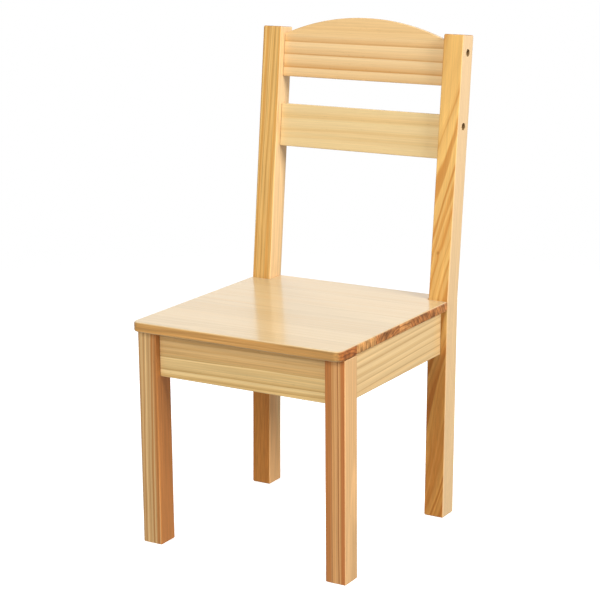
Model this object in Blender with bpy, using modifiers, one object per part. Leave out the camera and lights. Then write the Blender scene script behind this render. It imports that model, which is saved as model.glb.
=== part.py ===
"""A child-size dining chair in solid pine, built as its separate wooden and metal pieces.

Units are metres and +Z is up. The chair faces -Y and is symmetric about the YZ plane. The origin
is on the floor, under the middle of the chair's bounding box. In the constants below, depths are
measured back from the front faces of the front legs.
"""

import math

import bmesh
import bpy
from mathutils import Matrix, Vector

# Fits and fine detail.
GAP = 0.0003                # left between pieces that touch, and around dowels and screws
EDGE_EASE = 0.0015          # sanded edges of the frame
HOLE_SEGMENTS = 16
ARC_SEGMENTS = 24

# Overall layout.
FRAME_WIDTH = 0.282         # across the outer faces of the legs and posts
LEG_WIDTH = 0.0265          # legs and posts, along X
LEG_DEPTH = 0.0285          # legs and posts, along Y

# Seat board.
SEAT_TOP = 0.279
SEAT_THICKNESS = 0.012
SEAT_WIDTH = 0.283
SEAT_OVERHANG = 0.012       # ahead of the front legs
SEAT_BACK = 0.281           # depth of the rear edge
SEAT_CORNER_RADIUS = 0.010
SEAT_EASE = 0.002

# Rear posts: straight below the seat and raked back above it.
POST_FRONT = 0.255          # depth of the front face at the seat's top
POST_LOWER_SLOPE = 0.025    # run per rise below the seat
POST_RAKE = 0.110           # run per rise above the seat
POST_TOP = 0.600            # top of the front edge

# Aprons.
APRON_THICKNESS = 0.012
APRON_BOTTOM = 0.211
FRONT_APRON_SETBACK = 0.007
SIDE_APRON_SETBACK = 0.0085  # in from the outer faces of the legs
REAR_APRON_SETBACK = 0.0085  # behind the front faces of the posts

# Back slats, square to the raked posts. Heights are along the front face, as heights above floor.
SLAT_THICKNESS = 0.010
SLAT_SETBACK = 0.0095
LOWER_SLAT = (0.448, 0.502)
TOP_SLAT = (0.536, 0.590)
TOP_SLAT_APEX = 0.613

# Joinery.
DOWEL_RADIUS = 0.003
DOWEL_LENGTH = 0.028
APRON_DOWEL_HEIGHTS = (0.222, 0.256)
SIDE_DOWEL_HEIGHTS = (0.232, 0.246)
SLAT_DOWEL_RISE = 0.014     # above a slat's lower edge
SLAT_SCREW_RISE = 0.041
COUNTERBORE_RADIUS = 0.0045
COUNTERBORE_DEPTH = 0.010
BLOCK_COUNTERBORE_RADIUS = 0.0043

# Corner blocks under the seat. Reach and clip are along both aprons from their inner corner.
BLOCK_HEIGHT = 0.036
BLOCK_REACH = 0.046
BLOCK_CLIP = 0.018
BLOCK_SCREW_OFFSET = 0.032
BLOCK_SCREW_SEAT = 0.010    # wood left between a screw's head and the apron
BLOCK_SCREW_DROPS = (0.010, 0.026)
SEAT_SCREW_OFFSET = 0.017
SEAT_SCREW_HEAD_DEPTH = 0.014

# Screws: head radius, head height, shank radius, length under the head.
BACK_SCREW = (0.0039, 0.0028, 0.0021, 0.045)
BLOCK_SCREW = (0.0037, 0.0026, 0.0019, 0.0185)
SEAT_SCREW = (0.0037, 0.0026, 0.0019, 0.0305)

# Values that follow from the sizes above.
HALF_WIDTH = FRAME_WIDTH / 2
INNER_X = HALF_WIDTH - LEG_WIDTH
SEAT_UNDERSIDE = SEAT_TOP - SEAT_THICKNESS
FRAME_TOP = SEAT_UNDERSIDE - GAP
RAKE_ANGLE = math.atan(POST_RAKE)
POST_TOP_BACK = POST_FRONT + (POST_TOP - SEAT_TOP) * POST_RAKE + LEG_DEPTH * math.cos(RAKE_ANGLE) ** 2
FRONT_Y = -(POST_TOP_BACK - SEAT_OVERHANG) / 2
FRONT_APRON_Y = FRONT_Y + FRONT_APRON_SETBACK + APRON_THICKNESS / 2
REAR_APRON_Y = FRONT_Y + POST_FRONT + REAR_APRON_SETBACK + APRON_THICKNESS / 2
SIDE_APRON_X = HALF_WIDTH - SIDE_APRON_SETBACK - APRON_THICKNESS / 2

SIDES = (("left", -1), ("right", 1))


def clear_scene():
    """Remove everything the open file holds."""
    for obj in list(bpy.data.objects):
        bpy.data.objects.remove(obj, do_unlink=True)
    for collection in list(bpy.data.collections):
        bpy.data.collections.remove(collection)
    for material in list(bpy.data.materials):
        bpy.data.materials.remove(material)


def new_collection(name):
    """Make a collection in the scene."""
    collection = bpy.data.collections.new(name)
    bpy.context.scene.collection.children.link(collection)
    return collection


def new_material(name, colour, roughness, metallic=0.0):
    """Make a Principled material."""
    material = bpy.data.materials.new(name)
    material.use_nodes = True
    shader = material.node_tree.nodes["Principled BSDF"]
    shader.inputs["Base Color"].default_value = (*colour, 1.0)
    shader.inputs["Roughness"].default_value = roughness
    shader.inputs["Metallic"].default_value = metallic
    material.diffuse_color = (*colour, 1.0)
    return material


def post_front_y(height):
    """Return the world Y of a rear post's front face at a height."""
    slope = POST_RAKE if height > SEAT_TOP else POST_LOWER_SLOPE
    return FRONT_Y + POST_FRONT + (height - SEAT_TOP) * slope


def slat_centre_y(height):
    """Return the world Y of the middle of a slat's thickness at a height."""
    return post_front_y(height) + SLAT_SETBACK + SLAT_THICKNESS / 2 / math.cos(RAKE_ANGLE)


class Chair:
    """Collects the chair's pieces and their cutters."""

    def __init__(self):
        self.parts = new_collection("childs_dining_chair")
        self.cutters = new_collection("cutters")
        self.cutters.hide_render = True

    def add(self, name, mesh, material, smooth=False):
        """Put a mesh in the scene as a named piece with a material of its own."""
        obj = bpy.data.objects.new(name, mesh)
        self.parts.objects.link(obj)
        mesh.materials.clear()
        mesh.materials.append(material)
        for polygon in mesh.polygons:
            polygon.use_smooth = smooth
        return obj

    def board(self, name, size, centre, material):
        """Add a rectangular board with eased edges."""
        mesh = bpy.data.meshes.new(name)
        bm = bmesh.new()
        bmesh.ops.create_cube(bm, size=1.0, matrix=Matrix.Diagonal((*size, 1.0)))
        bm.to_mesh(mesh)
        bm.free()
        obj = self.add(name, mesh, material)
        obj.location = centre
        ease_edges(obj, EDGE_EASE)
        return obj

    def plate(self, name, outline, thickness, placing, material, ease=EDGE_EASE):
        """Add a flat outline filled and extruded both ways, placed by a matrix."""
        curve = bpy.data.curves.new(name, "CURVE")
        curve.dimensions = "2D"
        curve.fill_mode = "BOTH"
        curve.extrude = thickness / 2
        spline = curve.splines.new("POLY")
        spline.points.add(len(outline) - 1)
        for point, (x, y) in zip(spline.points, outline):
            point.co = (x, y, 0.0, 1.0)
        spline.use_cyclic_u = True
        template = bpy.data.objects.new(name + "_outline", curve)
        self.cutters.objects.link(template)
        graph = bpy.context.evaluated_depsgraph_get()
        mesh = bpy.data.meshes.new_from_object(template.evaluated_get(graph))
        mesh.name = name
        bpy.data.objects.remove(template)
        weld(mesh)
        obj = self.add(name, mesh, material)
        obj.matrix_world = placing
        ease_edges(obj, ease)
        return obj

    def dowel(self, name, centre, axis, material):
        """Add a round dowel along an axis."""
        mesh = bpy.data.meshes.new(name)
        bm = bmesh.new()
        bmesh.ops.create_cone(bm, cap_ends=True, segments=HOLE_SEGMENTS, radius1=DOWEL_RADIUS,
                              radius2=DOWEL_RADIUS, depth=DOWEL_LENGTH)
        bm.to_mesh(mesh)
        bm.free()
        obj = self.add(name, mesh, material)
        shade_round(obj)
        obj.matrix_world = aligned(centre, axis)
        return obj

    def screw(self, name, sizes, head_seat, direction, material):
        """Add a wood screw, turned about the line it is driven along."""
        head_radius, head_height, shank_radius, length = sizes
        profile = [
            (0.0, head_height),
            (head_radius * 0.75, head_height),
            (head_radius, head_height * 0.5),
            (head_radius, 0.0),
            (shank_radius, 0.0),
            (shank_radius, -length * 0.8),
            (0.0, -length),
        ]
        mesh = bpy.data.meshes.new(name)
        points = [(x, 0.0, z) for x, z in profile]
        edges = [(i, i + 1) for i in range(len(points) - 1)]
        mesh.from_pydata(points, edges, [])
        obj = self.add(name, mesh, material)
        turn = obj.modifiers.new("turn", "SCREW")
        turn.axis = "Z"
        turn.steps = HOLE_SEGMENTS
        turn.render_steps = HOLE_SEGMENTS
        turn.use_merge_vertices = True
        turn.merge_threshold = 0.00001
        obj.matrix_world = aligned(head_seat, -Vector(direction))
        return obj

    def drill(self, obj, holes):
        """Cut round holes; each is its mouth, its direction into the wood, its depth and radius."""
        bm = bmesh.new()
        for mouth, direction, depth, radius in holes:
            direction = Vector(direction).normalized()
            start = Vector(mouth) - direction * LEG_WIDTH
            middle = (start + Vector(mouth) + direction * depth) / 2
            bmesh.ops.create_cone(bm, cap_ends=True, segments=HOLE_SEGMENTS, radius1=radius,
                                  radius2=radius, depth=depth + LEG_WIDTH,
                                  matrix=aligned(middle, direction))
        mesh = bpy.data.meshes.new(obj.name + "_holes")
        bm.to_mesh(mesh)
        bm.free()
        cutter = bpy.data.objects.new(mesh.name, mesh)
        self.cutters.objects.link(cutter)
        cutter.hide_render = True
        cutter.display_type = "WIRE"
        cut = obj.modifiers.new("holes", "BOOLEAN")
        cut.operation = "DIFFERENCE"
        cut.solver = "EXACT"
        cut.object = cutter


def weld(mesh):
    """Join a converted curve's loose walls and caps, and merge its flat triangles."""
    bm = bmesh.new()
    bm.from_mesh(mesh)
    bmesh.ops.remove_doubles(bm, verts=bm.verts, dist=0.000001)
    bmesh.ops.dissolve_limit(bm, angle_limit=math.radians(0.1), verts=bm.verts, edges=bm.edges)
    bmesh.ops.recalc_face_normals(bm, faces=bm.faces)
    bm.to_mesh(mesh)
    bm.free()


def ease_edges(obj, width):
    """Round a piece's sharp edges a little."""
    bevel = obj.modifiers.new("eased_edges", "BEVEL")
    bevel.width = width
    bevel.segments = 2
    bevel.limit_method = "ANGLE"
    bevel.angle_limit = math.radians(40)


def shade_round(obj):
    """Shade a cylinder's side smooth and leave its flat ends flat."""
    for polygon in obj.data.polygons:
        polygon.use_smooth = len(polygon.vertices) == 4


def aligned(origin, axis):
    """Return a matrix that puts local +Z along an axis, at an origin."""
    turn = Vector((0.0, 0.0, 1.0)).rotation_difference(Vector(axis))
    return Matrix.Translation(origin) @ turn.to_matrix().to_4x4()


def side_plane(x):
    """Return a matrix that reads an outline's (x, y) as world (y, z), at a world X."""
    return Matrix(((0, 0, 1, x), (1, 0, 0, 0), (0, 1, 0, 0), (0, 0, 0, 1)))


def arc(centre, radius, start, end, segments):
    """Return points along an arc; angles are in degrees."""
    points = []
    for i in range(segments + 1):
        angle = math.radians(start + (end - start) * i / segments)
        points.append((centre[0] + radius * math.cos(angle), centre[1] + radius * math.sin(angle)))
    return points


def seat_screw_place(side, end):
    """Return the plan position of the screw that holds the seat to a corner block."""
    corner_x, corner_y, inward_y = block_corner(side, end)
    return (corner_x - side * SEAT_SCREW_OFFSET, corner_y + inward_y * SEAT_SCREW_OFFSET)


def block_corner(side, end):
    """Return the inner corner of two aprons in plan, and the Y direction into the frame."""
    corner_x = side * (SIDE_APRON_X - APRON_THICKNESS / 2)
    if end == "front":
        return corner_x, FRONT_APRON_Y + APRON_THICKNESS / 2, 1
    return corner_x, REAR_APRON_Y - APRON_THICKNESS / 2, -1


def make_seat(chair, wood):
    """Add the seat board: rounded front corners, and notches around the rear posts."""
    half = SEAT_WIDTH / 2
    front = FRONT_Y - SEAT_OVERHANG
    back = FRONT_Y + SEAT_BACK
    notch_x = INNER_X - GAP
    notch_y = post_front_y(SEAT_UNDERSIDE) - GAP
    radius = SEAT_CORNER_RADIUS
    outline = [(-notch_x, back), (-notch_x, notch_y), (-half, notch_y)]
    outline += arc((-half + radius, front + radius), radius, 180, 270, 6)
    outline += arc((half - radius, front + radius), radius, 270, 360, 6)
    outline += [(half, notch_y), (notch_x, notch_y), (notch_x, back)]
    placing = Matrix.Translation((0, 0, SEAT_TOP - SEAT_THICKNESS / 2))
    seat = chair.plate("seat_board", outline, SEAT_THICKNESS, placing, wood, ease=SEAT_EASE)
    depth = SEAT_SCREW[3] - BLOCK_HEIGHT + SEAT_SCREW_HEAD_DEPTH
    holes = []
    for _, side in SIDES:
        for end in ("front", "rear"):
            x, y = seat_screw_place(side, end)
            holes.append(((x, y, SEAT_UNDERSIDE), (0, 0, 1), depth + 2 * GAP, SEAT_SCREW[2] + GAP))
    chair.drill(seat, holes)


def make_front_legs(chair, wood):
    """Add the two square front legs, drilled for the apron dowels."""
    for name, side in SIDES:
        x = side * (HALF_WIDTH - LEG_WIDTH / 2)
        centre = (x, FRONT_Y + LEG_DEPTH / 2, FRAME_TOP / 2)
        leg = chair.board("front_leg_" + name, (LEG_WIDTH, LEG_DEPTH, FRAME_TOP), centre, wood)
        holes = []
        for z in APRON_DOWEL_HEIGHTS:
            holes.append(dowel_hole((side * INNER_X, FRONT_APRON_Y, z), (side, 0, 0)))
        for z in SIDE_DOWEL_HEIGHTS:
            holes.append(dowel_hole((side * SIDE_APRON_X, FRONT_Y + LEG_DEPTH, z), (0, -1, 0)))
        chair.drill(leg, holes)


def make_rear_posts(chair, wood):
    """Add the rear posts, each one piece from the floor to the top of the back."""
    top_front = Vector((post_front_y(POST_TOP), POST_TOP))
    top_back = top_front + Vector((math.cos(RAKE_ANGLE), -math.sin(RAKE_ANGLE))) * (
        LEG_DEPTH * math.cos(RAKE_ANGLE))
    outline = [
        (post_front_y(0), 0),
        (post_front_y(0) + LEG_DEPTH, 0),
        (post_front_y(SEAT_TOP) + LEG_DEPTH, SEAT_TOP),
        tuple(top_back),
        tuple(top_front),
        (post_front_y(SEAT_TOP), SEAT_TOP),
    ]
    for name, side in SIDES:
        placing = side_plane(side * (HALF_WIDTH - LEG_WIDTH / 2))
        post = chair.plate("rear_post_" + name, outline, LEG_WIDTH, placing, wood)
        holes = []
        for z in APRON_DOWEL_HEIGHTS:
            holes.append(dowel_hole((side * INNER_X, REAR_APRON_Y, z), (side, 0, 0)))
        for z in SIDE_DOWEL_HEIGHTS:
            holes.append(dowel_hole((side * SIDE_APRON_X, post_front_y(z), z), (0, 1, 0)))
        for bottom, _ in (LOWER_SLAT, TOP_SLAT):
            z = bottom + SLAT_DOWEL_RISE
            holes.append(dowel_hole((side * INNER_X, slat_centre_y(z), z), (side, 0, 0)))
        chair.drill(post, holes)
        counterbores = []
        clearances = []
        for bottom, _ in (LOWER_SLAT, TOP_SLAT):
            z = bottom + SLAT_SCREW_RISE
            mouth = (side * HALF_WIDTH, slat_centre_y(z), z)
            counterbores.append((mouth, (-side, 0, 0), COUNTERBORE_DEPTH, COUNTERBORE_RADIUS))
            clearances.append((mouth, (-side, 0, 0), LEG_WIDTH * 2, BACK_SCREW[2] + GAP))
        chair.drill(post, counterbores)
        chair.drill(post, clearances)


def dowel_hole(mouth, direction):
    """Return one half of a dowel's hole, as drill() takes it."""
    return (mouth, direction, DOWEL_LENGTH / 2 + GAP, DOWEL_RADIUS + GAP)


def make_cross_aprons(chair, wood):
    """Add the front and rear aprons between the legs and between the posts."""
    height = FRAME_TOP - APRON_BOTTOM
    length = 2 * (INNER_X - GAP)
    for name, y, inward in (("front_apron", FRONT_APRON_Y, 1), ("rear_apron", REAR_APRON_Y, -1)):
        centre = (0, y, APRON_BOTTOM + height / 2)
        apron = chair.board(name, (length, APRON_THICKNESS, height), centre, wood)
        holes = []
        for _, side in SIDES:
            for z in APRON_DOWEL_HEIGHTS:
                holes.append(dowel_hole((side * INNER_X, y, z), (-side, 0, 0)))
            corner_x, corner_y, _ = block_corner(side, name.split("_")[0])
            x = corner_x - side * BLOCK_SCREW_OFFSET
            holes.append(block_screw_hole((x, corner_y, FRAME_TOP - BLOCK_SCREW_DROPS[1]),
                                          (0, -inward, 0)))
        chair.drill(apron, holes)


def block_screw_hole(mouth, direction):
    """Return the pilot hole that a corner block's screw has in an apron."""
    return (mouth, direction, BLOCK_SCREW[3] - BLOCK_SCREW_SEAT + 2 * GAP, BLOCK_SCREW[2] + GAP)


def make_side_aprons(chair, wood):
    """Add the side aprons, whose rear ends follow the slope of the posts."""
    front = FRONT_Y + LEG_DEPTH + GAP
    outline = [
        (front, APRON_BOTTOM),
        (post_front_y(APRON_BOTTOM) - GAP, APRON_BOTTOM),
        (post_front_y(FRAME_TOP) - GAP, FRAME_TOP),
        (front, FRAME_TOP),
    ]
    for name, side in SIDES:
        x = side * SIDE_APRON_X
        apron = chair.plate("side_apron_" + name, outline, APRON_THICKNESS, side_plane(x), wood)
        holes = []
        for z in SIDE_DOWEL_HEIGHTS:
            holes.append(dowel_hole((x, FRONT_Y + LEG_DEPTH, z), (0, 1, 0)))
            holes.append(dowel_hole((x, post_front_y(z), z), (0, -1, 0)))
        for end in ("front", "rear"):
            corner_x, corner_y, inward = block_corner(side, end)
            y = corner_y + inward * BLOCK_SCREW_OFFSET
            holes.append(block_screw_hole((corner_x, y, FRAME_TOP - BLOCK_SCREW_DROPS[0]),
                                          (side, 0, 0)))
        chair.drill(apron, holes)


def slat_outline(bottom, end_top, apex):
    """Return a slat's outline in its own plane, with its middle at the lower edge's middle."""
    half = INNER_X - GAP
    stretch = 1 / math.cos(RAKE_ANGLE)
    side_height = (end_top - bottom) * stretch
    rise = (apex - end_top) * stretch
    if rise <= 0:
        return [(-half, 0), (half, 0), (half, side_height), (-half, side_height)]
    radius = (half ** 2 + rise ** 2) / (2 * rise)
    spread = math.degrees(math.asin(half / radius))
    centre = (0, side_height + rise - radius)
    return [(-half, 0), (half, 0)] + arc(centre, radius, 90 - spread, 90 + spread, ARC_SEGMENTS)


def make_slats(chair, wood):
    """Add the straight lower slat and the arched top slat."""
    upright = Matrix.Rotation(math.pi / 2 - RAKE_ANGLE, 4, "X")
    slats = (("lower_slat", *LOWER_SLAT, LOWER_SLAT[1]), ("top_slat", *TOP_SLAT, TOP_SLAT_APEX))
    for name, bottom, end_top, apex in slats:
        outline = slat_outline(bottom, end_top, apex)
        placing = Matrix.Translation((0, slat_centre_y(bottom), bottom)) @ upright
        slat = chair.plate(name, outline, SLAT_THICKNESS, placing, wood)
        holes = []
        for _, side in SIDES:
            z = bottom + SLAT_DOWEL_RISE
            holes.append(dowel_hole((side * INNER_X, slat_centre_y(z), z), (-side, 0, 0)))
            z = bottom + SLAT_SCREW_RISE
            depth = BACK_SCREW[3] - LEG_WIDTH + COUNTERBORE_DEPTH
            holes.append(((side * INNER_X, slat_centre_y(z), z), (-side, 0, 0), depth + 2 * GAP,
                          BACK_SCREW[2] + GAP))
        chair.drill(slat, holes)


def make_corner_blocks(chair, wood):
    """Add the corner blocks that tie the aprons together and hold the seat down."""
    for name, side in SIDES:
        for end in ("front", "rear"):
            corner_x, corner_y, inward = block_corner(side, end)
            along = [(GAP, BLOCK_CLIP), (GAP, BLOCK_REACH), (BLOCK_REACH, GAP), (BLOCK_CLIP, GAP)]
            outline = [(corner_x - side * u, corner_y + inward * v) for u, v in along]
            placing = Matrix.Translation((0, 0, FRAME_TOP - BLOCK_HEIGHT / 2))
            block = chair.plate(f"corner_block_{end}_{name}", outline, BLOCK_HEIGHT, placing, wood,
                                ease=0.0008)
            to_side = (corner_x, corner_y + inward * BLOCK_SCREW_OFFSET,
                       FRAME_TOP - BLOCK_SCREW_DROPS[0])
            to_cross = (corner_x - side * BLOCK_SCREW_OFFSET, corner_y,
                        FRAME_TOP - BLOCK_SCREW_DROPS[1])
            seat_x, seat_y = seat_screw_place(side, end)
            base = (seat_x, seat_y, FRAME_TOP - BLOCK_HEIGHT)
            chair.drill(block, [
                (to_side, (-side, 0, 0), BLOCK_REACH, BLOCK_SCREW[2] + GAP),
                (to_cross, (0, inward, 0), BLOCK_REACH, BLOCK_SCREW[2] + GAP),
                (base, (0, 0, 1), BLOCK_HEIGHT + LEG_WIDTH, SEAT_SCREW[2] + GAP),
            ])
            seat_of_side = Vector(to_side) - Vector((side, 0, 0)) * BLOCK_SCREW_SEAT
            seat_of_cross = Vector(to_cross) + Vector((0, inward, 0)) * BLOCK_SCREW_SEAT
            clear = LEG_WIDTH
            chair.drill(block, [
                (seat_of_side - Vector((side, 0, 0)) * clear, (side, 0, 0), clear,
                 BLOCK_COUNTERBORE_RADIUS),
                (seat_of_cross + Vector((0, inward, 0)) * clear, (0, -inward, 0), clear,
                 BLOCK_COUNTERBORE_RADIUS),
                (base, (0, 0, 1), SEAT_SCREW_HEAD_DEPTH, BLOCK_COUNTERBORE_RADIUS),
            ])


def make_dowels(chair, wood):
    """Add the dowels of every joint of the frame and the back."""
    levels = (("lower", APRON_DOWEL_HEIGHTS[0], SIDE_DOWEL_HEIGHTS[0]),
              ("upper", APRON_DOWEL_HEIGHTS[1], SIDE_DOWEL_HEIGHTS[1]))
    for name, side in SIDES:
        for level, cross_z, side_z in levels:
            x = side * INNER_X
            chair.dowel(f"front_apron_dowel_{name}_{level}", (x, FRONT_APRON_Y, cross_z),
                        (1, 0, 0), wood)
            chair.dowel(f"rear_apron_dowel_{name}_{level}", (x, REAR_APRON_Y, cross_z),
                        (1, 0, 0), wood)
            x = side * SIDE_APRON_X
            chair.dowel(f"side_apron_dowel_{name}_front_{level}", (x, FRONT_Y + LEG_DEPTH, side_z),
                        (0, 1, 0), wood)
            chair.dowel(f"side_apron_dowel_{name}_rear_{level}", (x, post_front_y(side_z), side_z),
                        (0, 1, 0), wood)
        for slat, (bottom, _) in (("lower", LOWER_SLAT), ("top", TOP_SLAT)):
            z = bottom + SLAT_DOWEL_RISE
            chair.dowel(f"{slat}_slat_dowel_{name}", (side * INNER_X, slat_centre_y(z), z),
                        (1, 0, 0), wood)


def make_screws(chair, steel):
    """Add the screws of the slats, the corner blocks and the seat."""
    for name, side in SIDES:
        for slat, (bottom, _) in (("lower", LOWER_SLAT), ("top", TOP_SLAT)):
            z = bottom + SLAT_SCREW_RISE
            seat = (side * (HALF_WIDTH - COUNTERBORE_DEPTH + GAP), slat_centre_y(z), z)
            chair.screw(f"{slat}_slat_screw_{name}", BACK_SCREW, seat, (-side, 0, 0), steel)
        for end in ("front", "rear"):
            corner_x, corner_y, inward = block_corner(side, end)
            reach = BLOCK_SCREW_SEAT + GAP
            place = (corner_x - side * reach, corner_y + inward * BLOCK_SCREW_OFFSET,
                     FRAME_TOP - BLOCK_SCREW_DROPS[0])
            chair.screw(f"block_screw_{end}_{name}_side", BLOCK_SCREW, place, (side, 0, 0), steel)
            place = (corner_x - side * BLOCK_SCREW_OFFSET, corner_y + inward * reach,
                     FRAME_TOP - BLOCK_SCREW_DROPS[1])
            chair.screw(f"block_screw_{end}_{name}_cross", BLOCK_SCREW, place, (0, -inward, 0),
                        steel)
            x, y = seat_screw_place(side, end)
            z = FRAME_TOP - BLOCK_HEIGHT + SEAT_SCREW_HEAD_DEPTH - GAP
            chair.screw(f"seat_screw_{end}_{name}", SEAT_SCREW, (x, y, z), (0, 0, 1), steel)


def main():
    """Build every piece of the chair."""
    clear_scene()
    chair = Chair()
    seat_pine = new_material("seat_pine", (0.82, 0.66, 0.46), 0.35)
    leg_pine = new_material("leg_pine", (0.78, 0.55, 0.30), 0.40)
    rail_pine = new_material("rail_pine", (0.80, 0.60, 0.35), 0.40)
    block_pine = new_material("block_pine", (0.76, 0.62, 0.44), 0.60)
    birch = new_material("dowel_birch", (0.78, 0.66, 0.50), 0.60)
    steel = new_material("zinc_steel", (0.62, 0.60, 0.55), 0.35, 0.9)
    make_seat(chair, seat_pine)
    make_front_legs(chair, leg_pine)
    make_rear_posts(chair, leg_pine)
    make_cross_aprons(chair, rail_pine)
    make_side_aprons(chair, rail_pine)
    make_slats(chair, rail_pine)
    make_corner_blocks(chair, block_pine)
    make_dowels(chair, birch)
    make_screws(chair, steel)


main()
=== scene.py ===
"""The looks of a child-size pine dining chair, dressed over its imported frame.

Lengths are metres and +Z is up. The chair faces -Y. Every wooden piece is a closed shell worked out
with numpy: an outline with rounded corners, given a thickness and softly eased edges, and bored for
its dowels and screws. Every piece of pine is a block cut from its own log: its finish measures the
distance to that log's pith, so rings, streaks and end grain run through the block as in real wood.
"""

import logging
import math
from dataclasses import dataclass, field
from enum import Enum
from typing import Optional, Sequence, Union

import bpy
import numpy as np
from mathutils import Euler, Matrix, Vector, geometry

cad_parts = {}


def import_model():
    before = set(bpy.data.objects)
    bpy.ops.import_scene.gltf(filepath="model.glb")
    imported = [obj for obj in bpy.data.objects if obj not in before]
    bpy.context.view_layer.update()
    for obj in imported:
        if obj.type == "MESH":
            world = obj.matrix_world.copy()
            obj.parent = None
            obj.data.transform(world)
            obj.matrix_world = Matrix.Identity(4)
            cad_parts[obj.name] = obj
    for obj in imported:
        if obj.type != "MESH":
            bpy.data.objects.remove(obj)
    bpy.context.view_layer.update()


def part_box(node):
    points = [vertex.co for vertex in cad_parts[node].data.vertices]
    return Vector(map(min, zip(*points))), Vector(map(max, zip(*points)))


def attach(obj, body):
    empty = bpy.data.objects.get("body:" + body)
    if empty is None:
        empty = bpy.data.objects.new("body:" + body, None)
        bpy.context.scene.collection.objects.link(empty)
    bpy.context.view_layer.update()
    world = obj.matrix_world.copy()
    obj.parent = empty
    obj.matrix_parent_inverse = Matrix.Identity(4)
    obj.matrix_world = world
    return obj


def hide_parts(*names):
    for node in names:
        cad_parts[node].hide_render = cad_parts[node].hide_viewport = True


LOG = logging.getLogger("chair")

MM = 0.001
CRISP = 0.3 * MM            # the rounding of a crisp edge
GAP = 0.3 * MM              # left between pieces that touch
RIM_STEPS = 5               # points over a quarter round
BORE_COLUMNS = 32           # points round a hole
SKEW = (0.3, 0.5, 0.7)      # keeps a helping direction from lying along another
BODY = "root"
SIDES = (("left", -1.0), ("right", 1.0))
ENDS = (("front", -1.0), ("rear", 1.0))
LEVELS = ("lower", "upper")
SLATS = ("lower", "top")

Colour = tuple[float, float, float]
Point = tuple[float, float, float]
Flat = tuple[float, float]


class Grain(Enum):
    """The way a piece's grain runs, as a unit vector."""

    ACROSS = (1.0, 0.0, 0.0)
    DEEP = (0.0, 1.0, 0.0)
    UPRIGHT = (0.0, 0.0, 1.0)


# ---------------------------------------------------------------------------------------------
# Shader arithmetic
# ---------------------------------------------------------------------------------------------


class Signal:
    """A number on a node's socket, usable in Python arithmetic."""

    def __init__(self, graph: "Graph", socket: bpy.types.NodeSocket) -> None:
        """Wrap an output socket of a graph."""
        self.graph = graph
        self.socket = socket

    def math(self, operation: str, *values: "Number", clamp: bool = False) -> "Signal":
        """Add a Math node.

        Args:
            operation: The node's operation.
            values: Its inputs, in order.
            clamp: Whether the result is kept between 0 and 1.

        Returns:
            The node's result.
        """
        settings = {"operation": operation, "use_clamp": clamp}
        return self.graph.number("ShaderNodeMath", settings, dict(enumerate(values)))

    def __add__(self, other: "Number") -> "Signal":
        """Return self + other."""
        return self.math("ADD", self, other)

    def __sub__(self, other: "Number") -> "Signal":
        """Return self - other."""
        return self.math("SUBTRACT", self, other)

    def __rsub__(self, other: float) -> "Signal":
        """Return other - self."""
        return self.math("SUBTRACT", other, self)

    def __mul__(self, other: "Number") -> "Signal":
        """Return self * other."""
        return self.math("MULTIPLY", self, other)

    def __truediv__(self, other: "Number") -> "Signal":
        """Return self / other."""
        return self.math("DIVIDE", self, other)

    def __pow__(self, other: "Number") -> "Signal":
        """Return self raised to other."""
        return self.math("POWER", self, other)

    def __abs__(self) -> "Signal":
        """Return the size of self."""
        return self.math("ABSOLUTE", self)

    def floor(self) -> "Signal":
        """Return self rounded down."""
        return self.math("FLOOR", self)

    def fraction(self) -> "Signal":
        """Return self less its whole part."""
        return self.math("FRACT", self)

    def above(self, level: float) -> "Signal":
        """Return 1 where self is above a level, and 0 elsewhere."""
        return self.math("GREATER_THAN", self, level)

    def clamped(self) -> "Signal":
        """Return self kept between 0 and 1."""
        return self.math("ADD", self, 0.0, clamp=True)

    def bell(self, width: float) -> "Signal":
        """Return a bell curve of self: e to the power of minus (self over width) squared."""
        scaled = self / width
        return self.math("EXPONENT", scaled * scaled * -1.0)

    def smooth(self, low: float, high: float) -> "Signal":
        """Return a smooth step.

        Args:
            low: The value that gives 0.
            high: The value that gives 1; it is under low for a falling step.

        Returns:
            The step, from 0 to 1.
        """
        falling = high < low
        first, last = (high, low) if falling else (low, high)
        start, end = (1.0, 0.0) if falling else (0.0, 1.0)
        settings = {"interpolation_type": "SMOOTHSTEP"}
        inputs = {0: self, 1: first, 2: last, 3: start, 4: end}
        return self.graph.number("ShaderNodeMapRange", settings, inputs)


class VectorSignal:
    """A vector or a colour on a node's socket, usable in Python arithmetic."""

    def __init__(self, graph: "Graph", socket: bpy.types.NodeSocket) -> None:
        """Wrap an output socket of a graph."""
        self.graph = graph
        self.socket = socket

    def __add__(self, other: "Place") -> "VectorSignal":
        """Return self + other."""
        return self.graph.vector_math("ADD", {0: self, 1: other})

    def __sub__(self, other: "Place") -> "VectorSignal":
        """Return self - other."""
        return self.graph.vector_math("SUBTRACT", {0: self, 1: other})

    def __mul__(self, other: "Number") -> "VectorSignal":
        """Return self scaled by a number."""
        return self.graph.vector_math("SCALE", {0: self, "Scale": other})

    def dot(self, other: "Place") -> Signal:
        """Return the dot product of self and other."""
        settings = {"operation": "DOT_PRODUCT"}
        return self.graph.number("ShaderNodeVectorMath", settings, {0: self, 1: other}, "Value")

    def length(self) -> Signal:
        """Return the length of self."""
        settings = {"operation": "LENGTH"}
        return self.graph.number("ShaderNodeVectorMath", settings, {0: self}, "Value")


Number = Union[Signal, float]
Place = Union[VectorSignal, Point]


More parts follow.
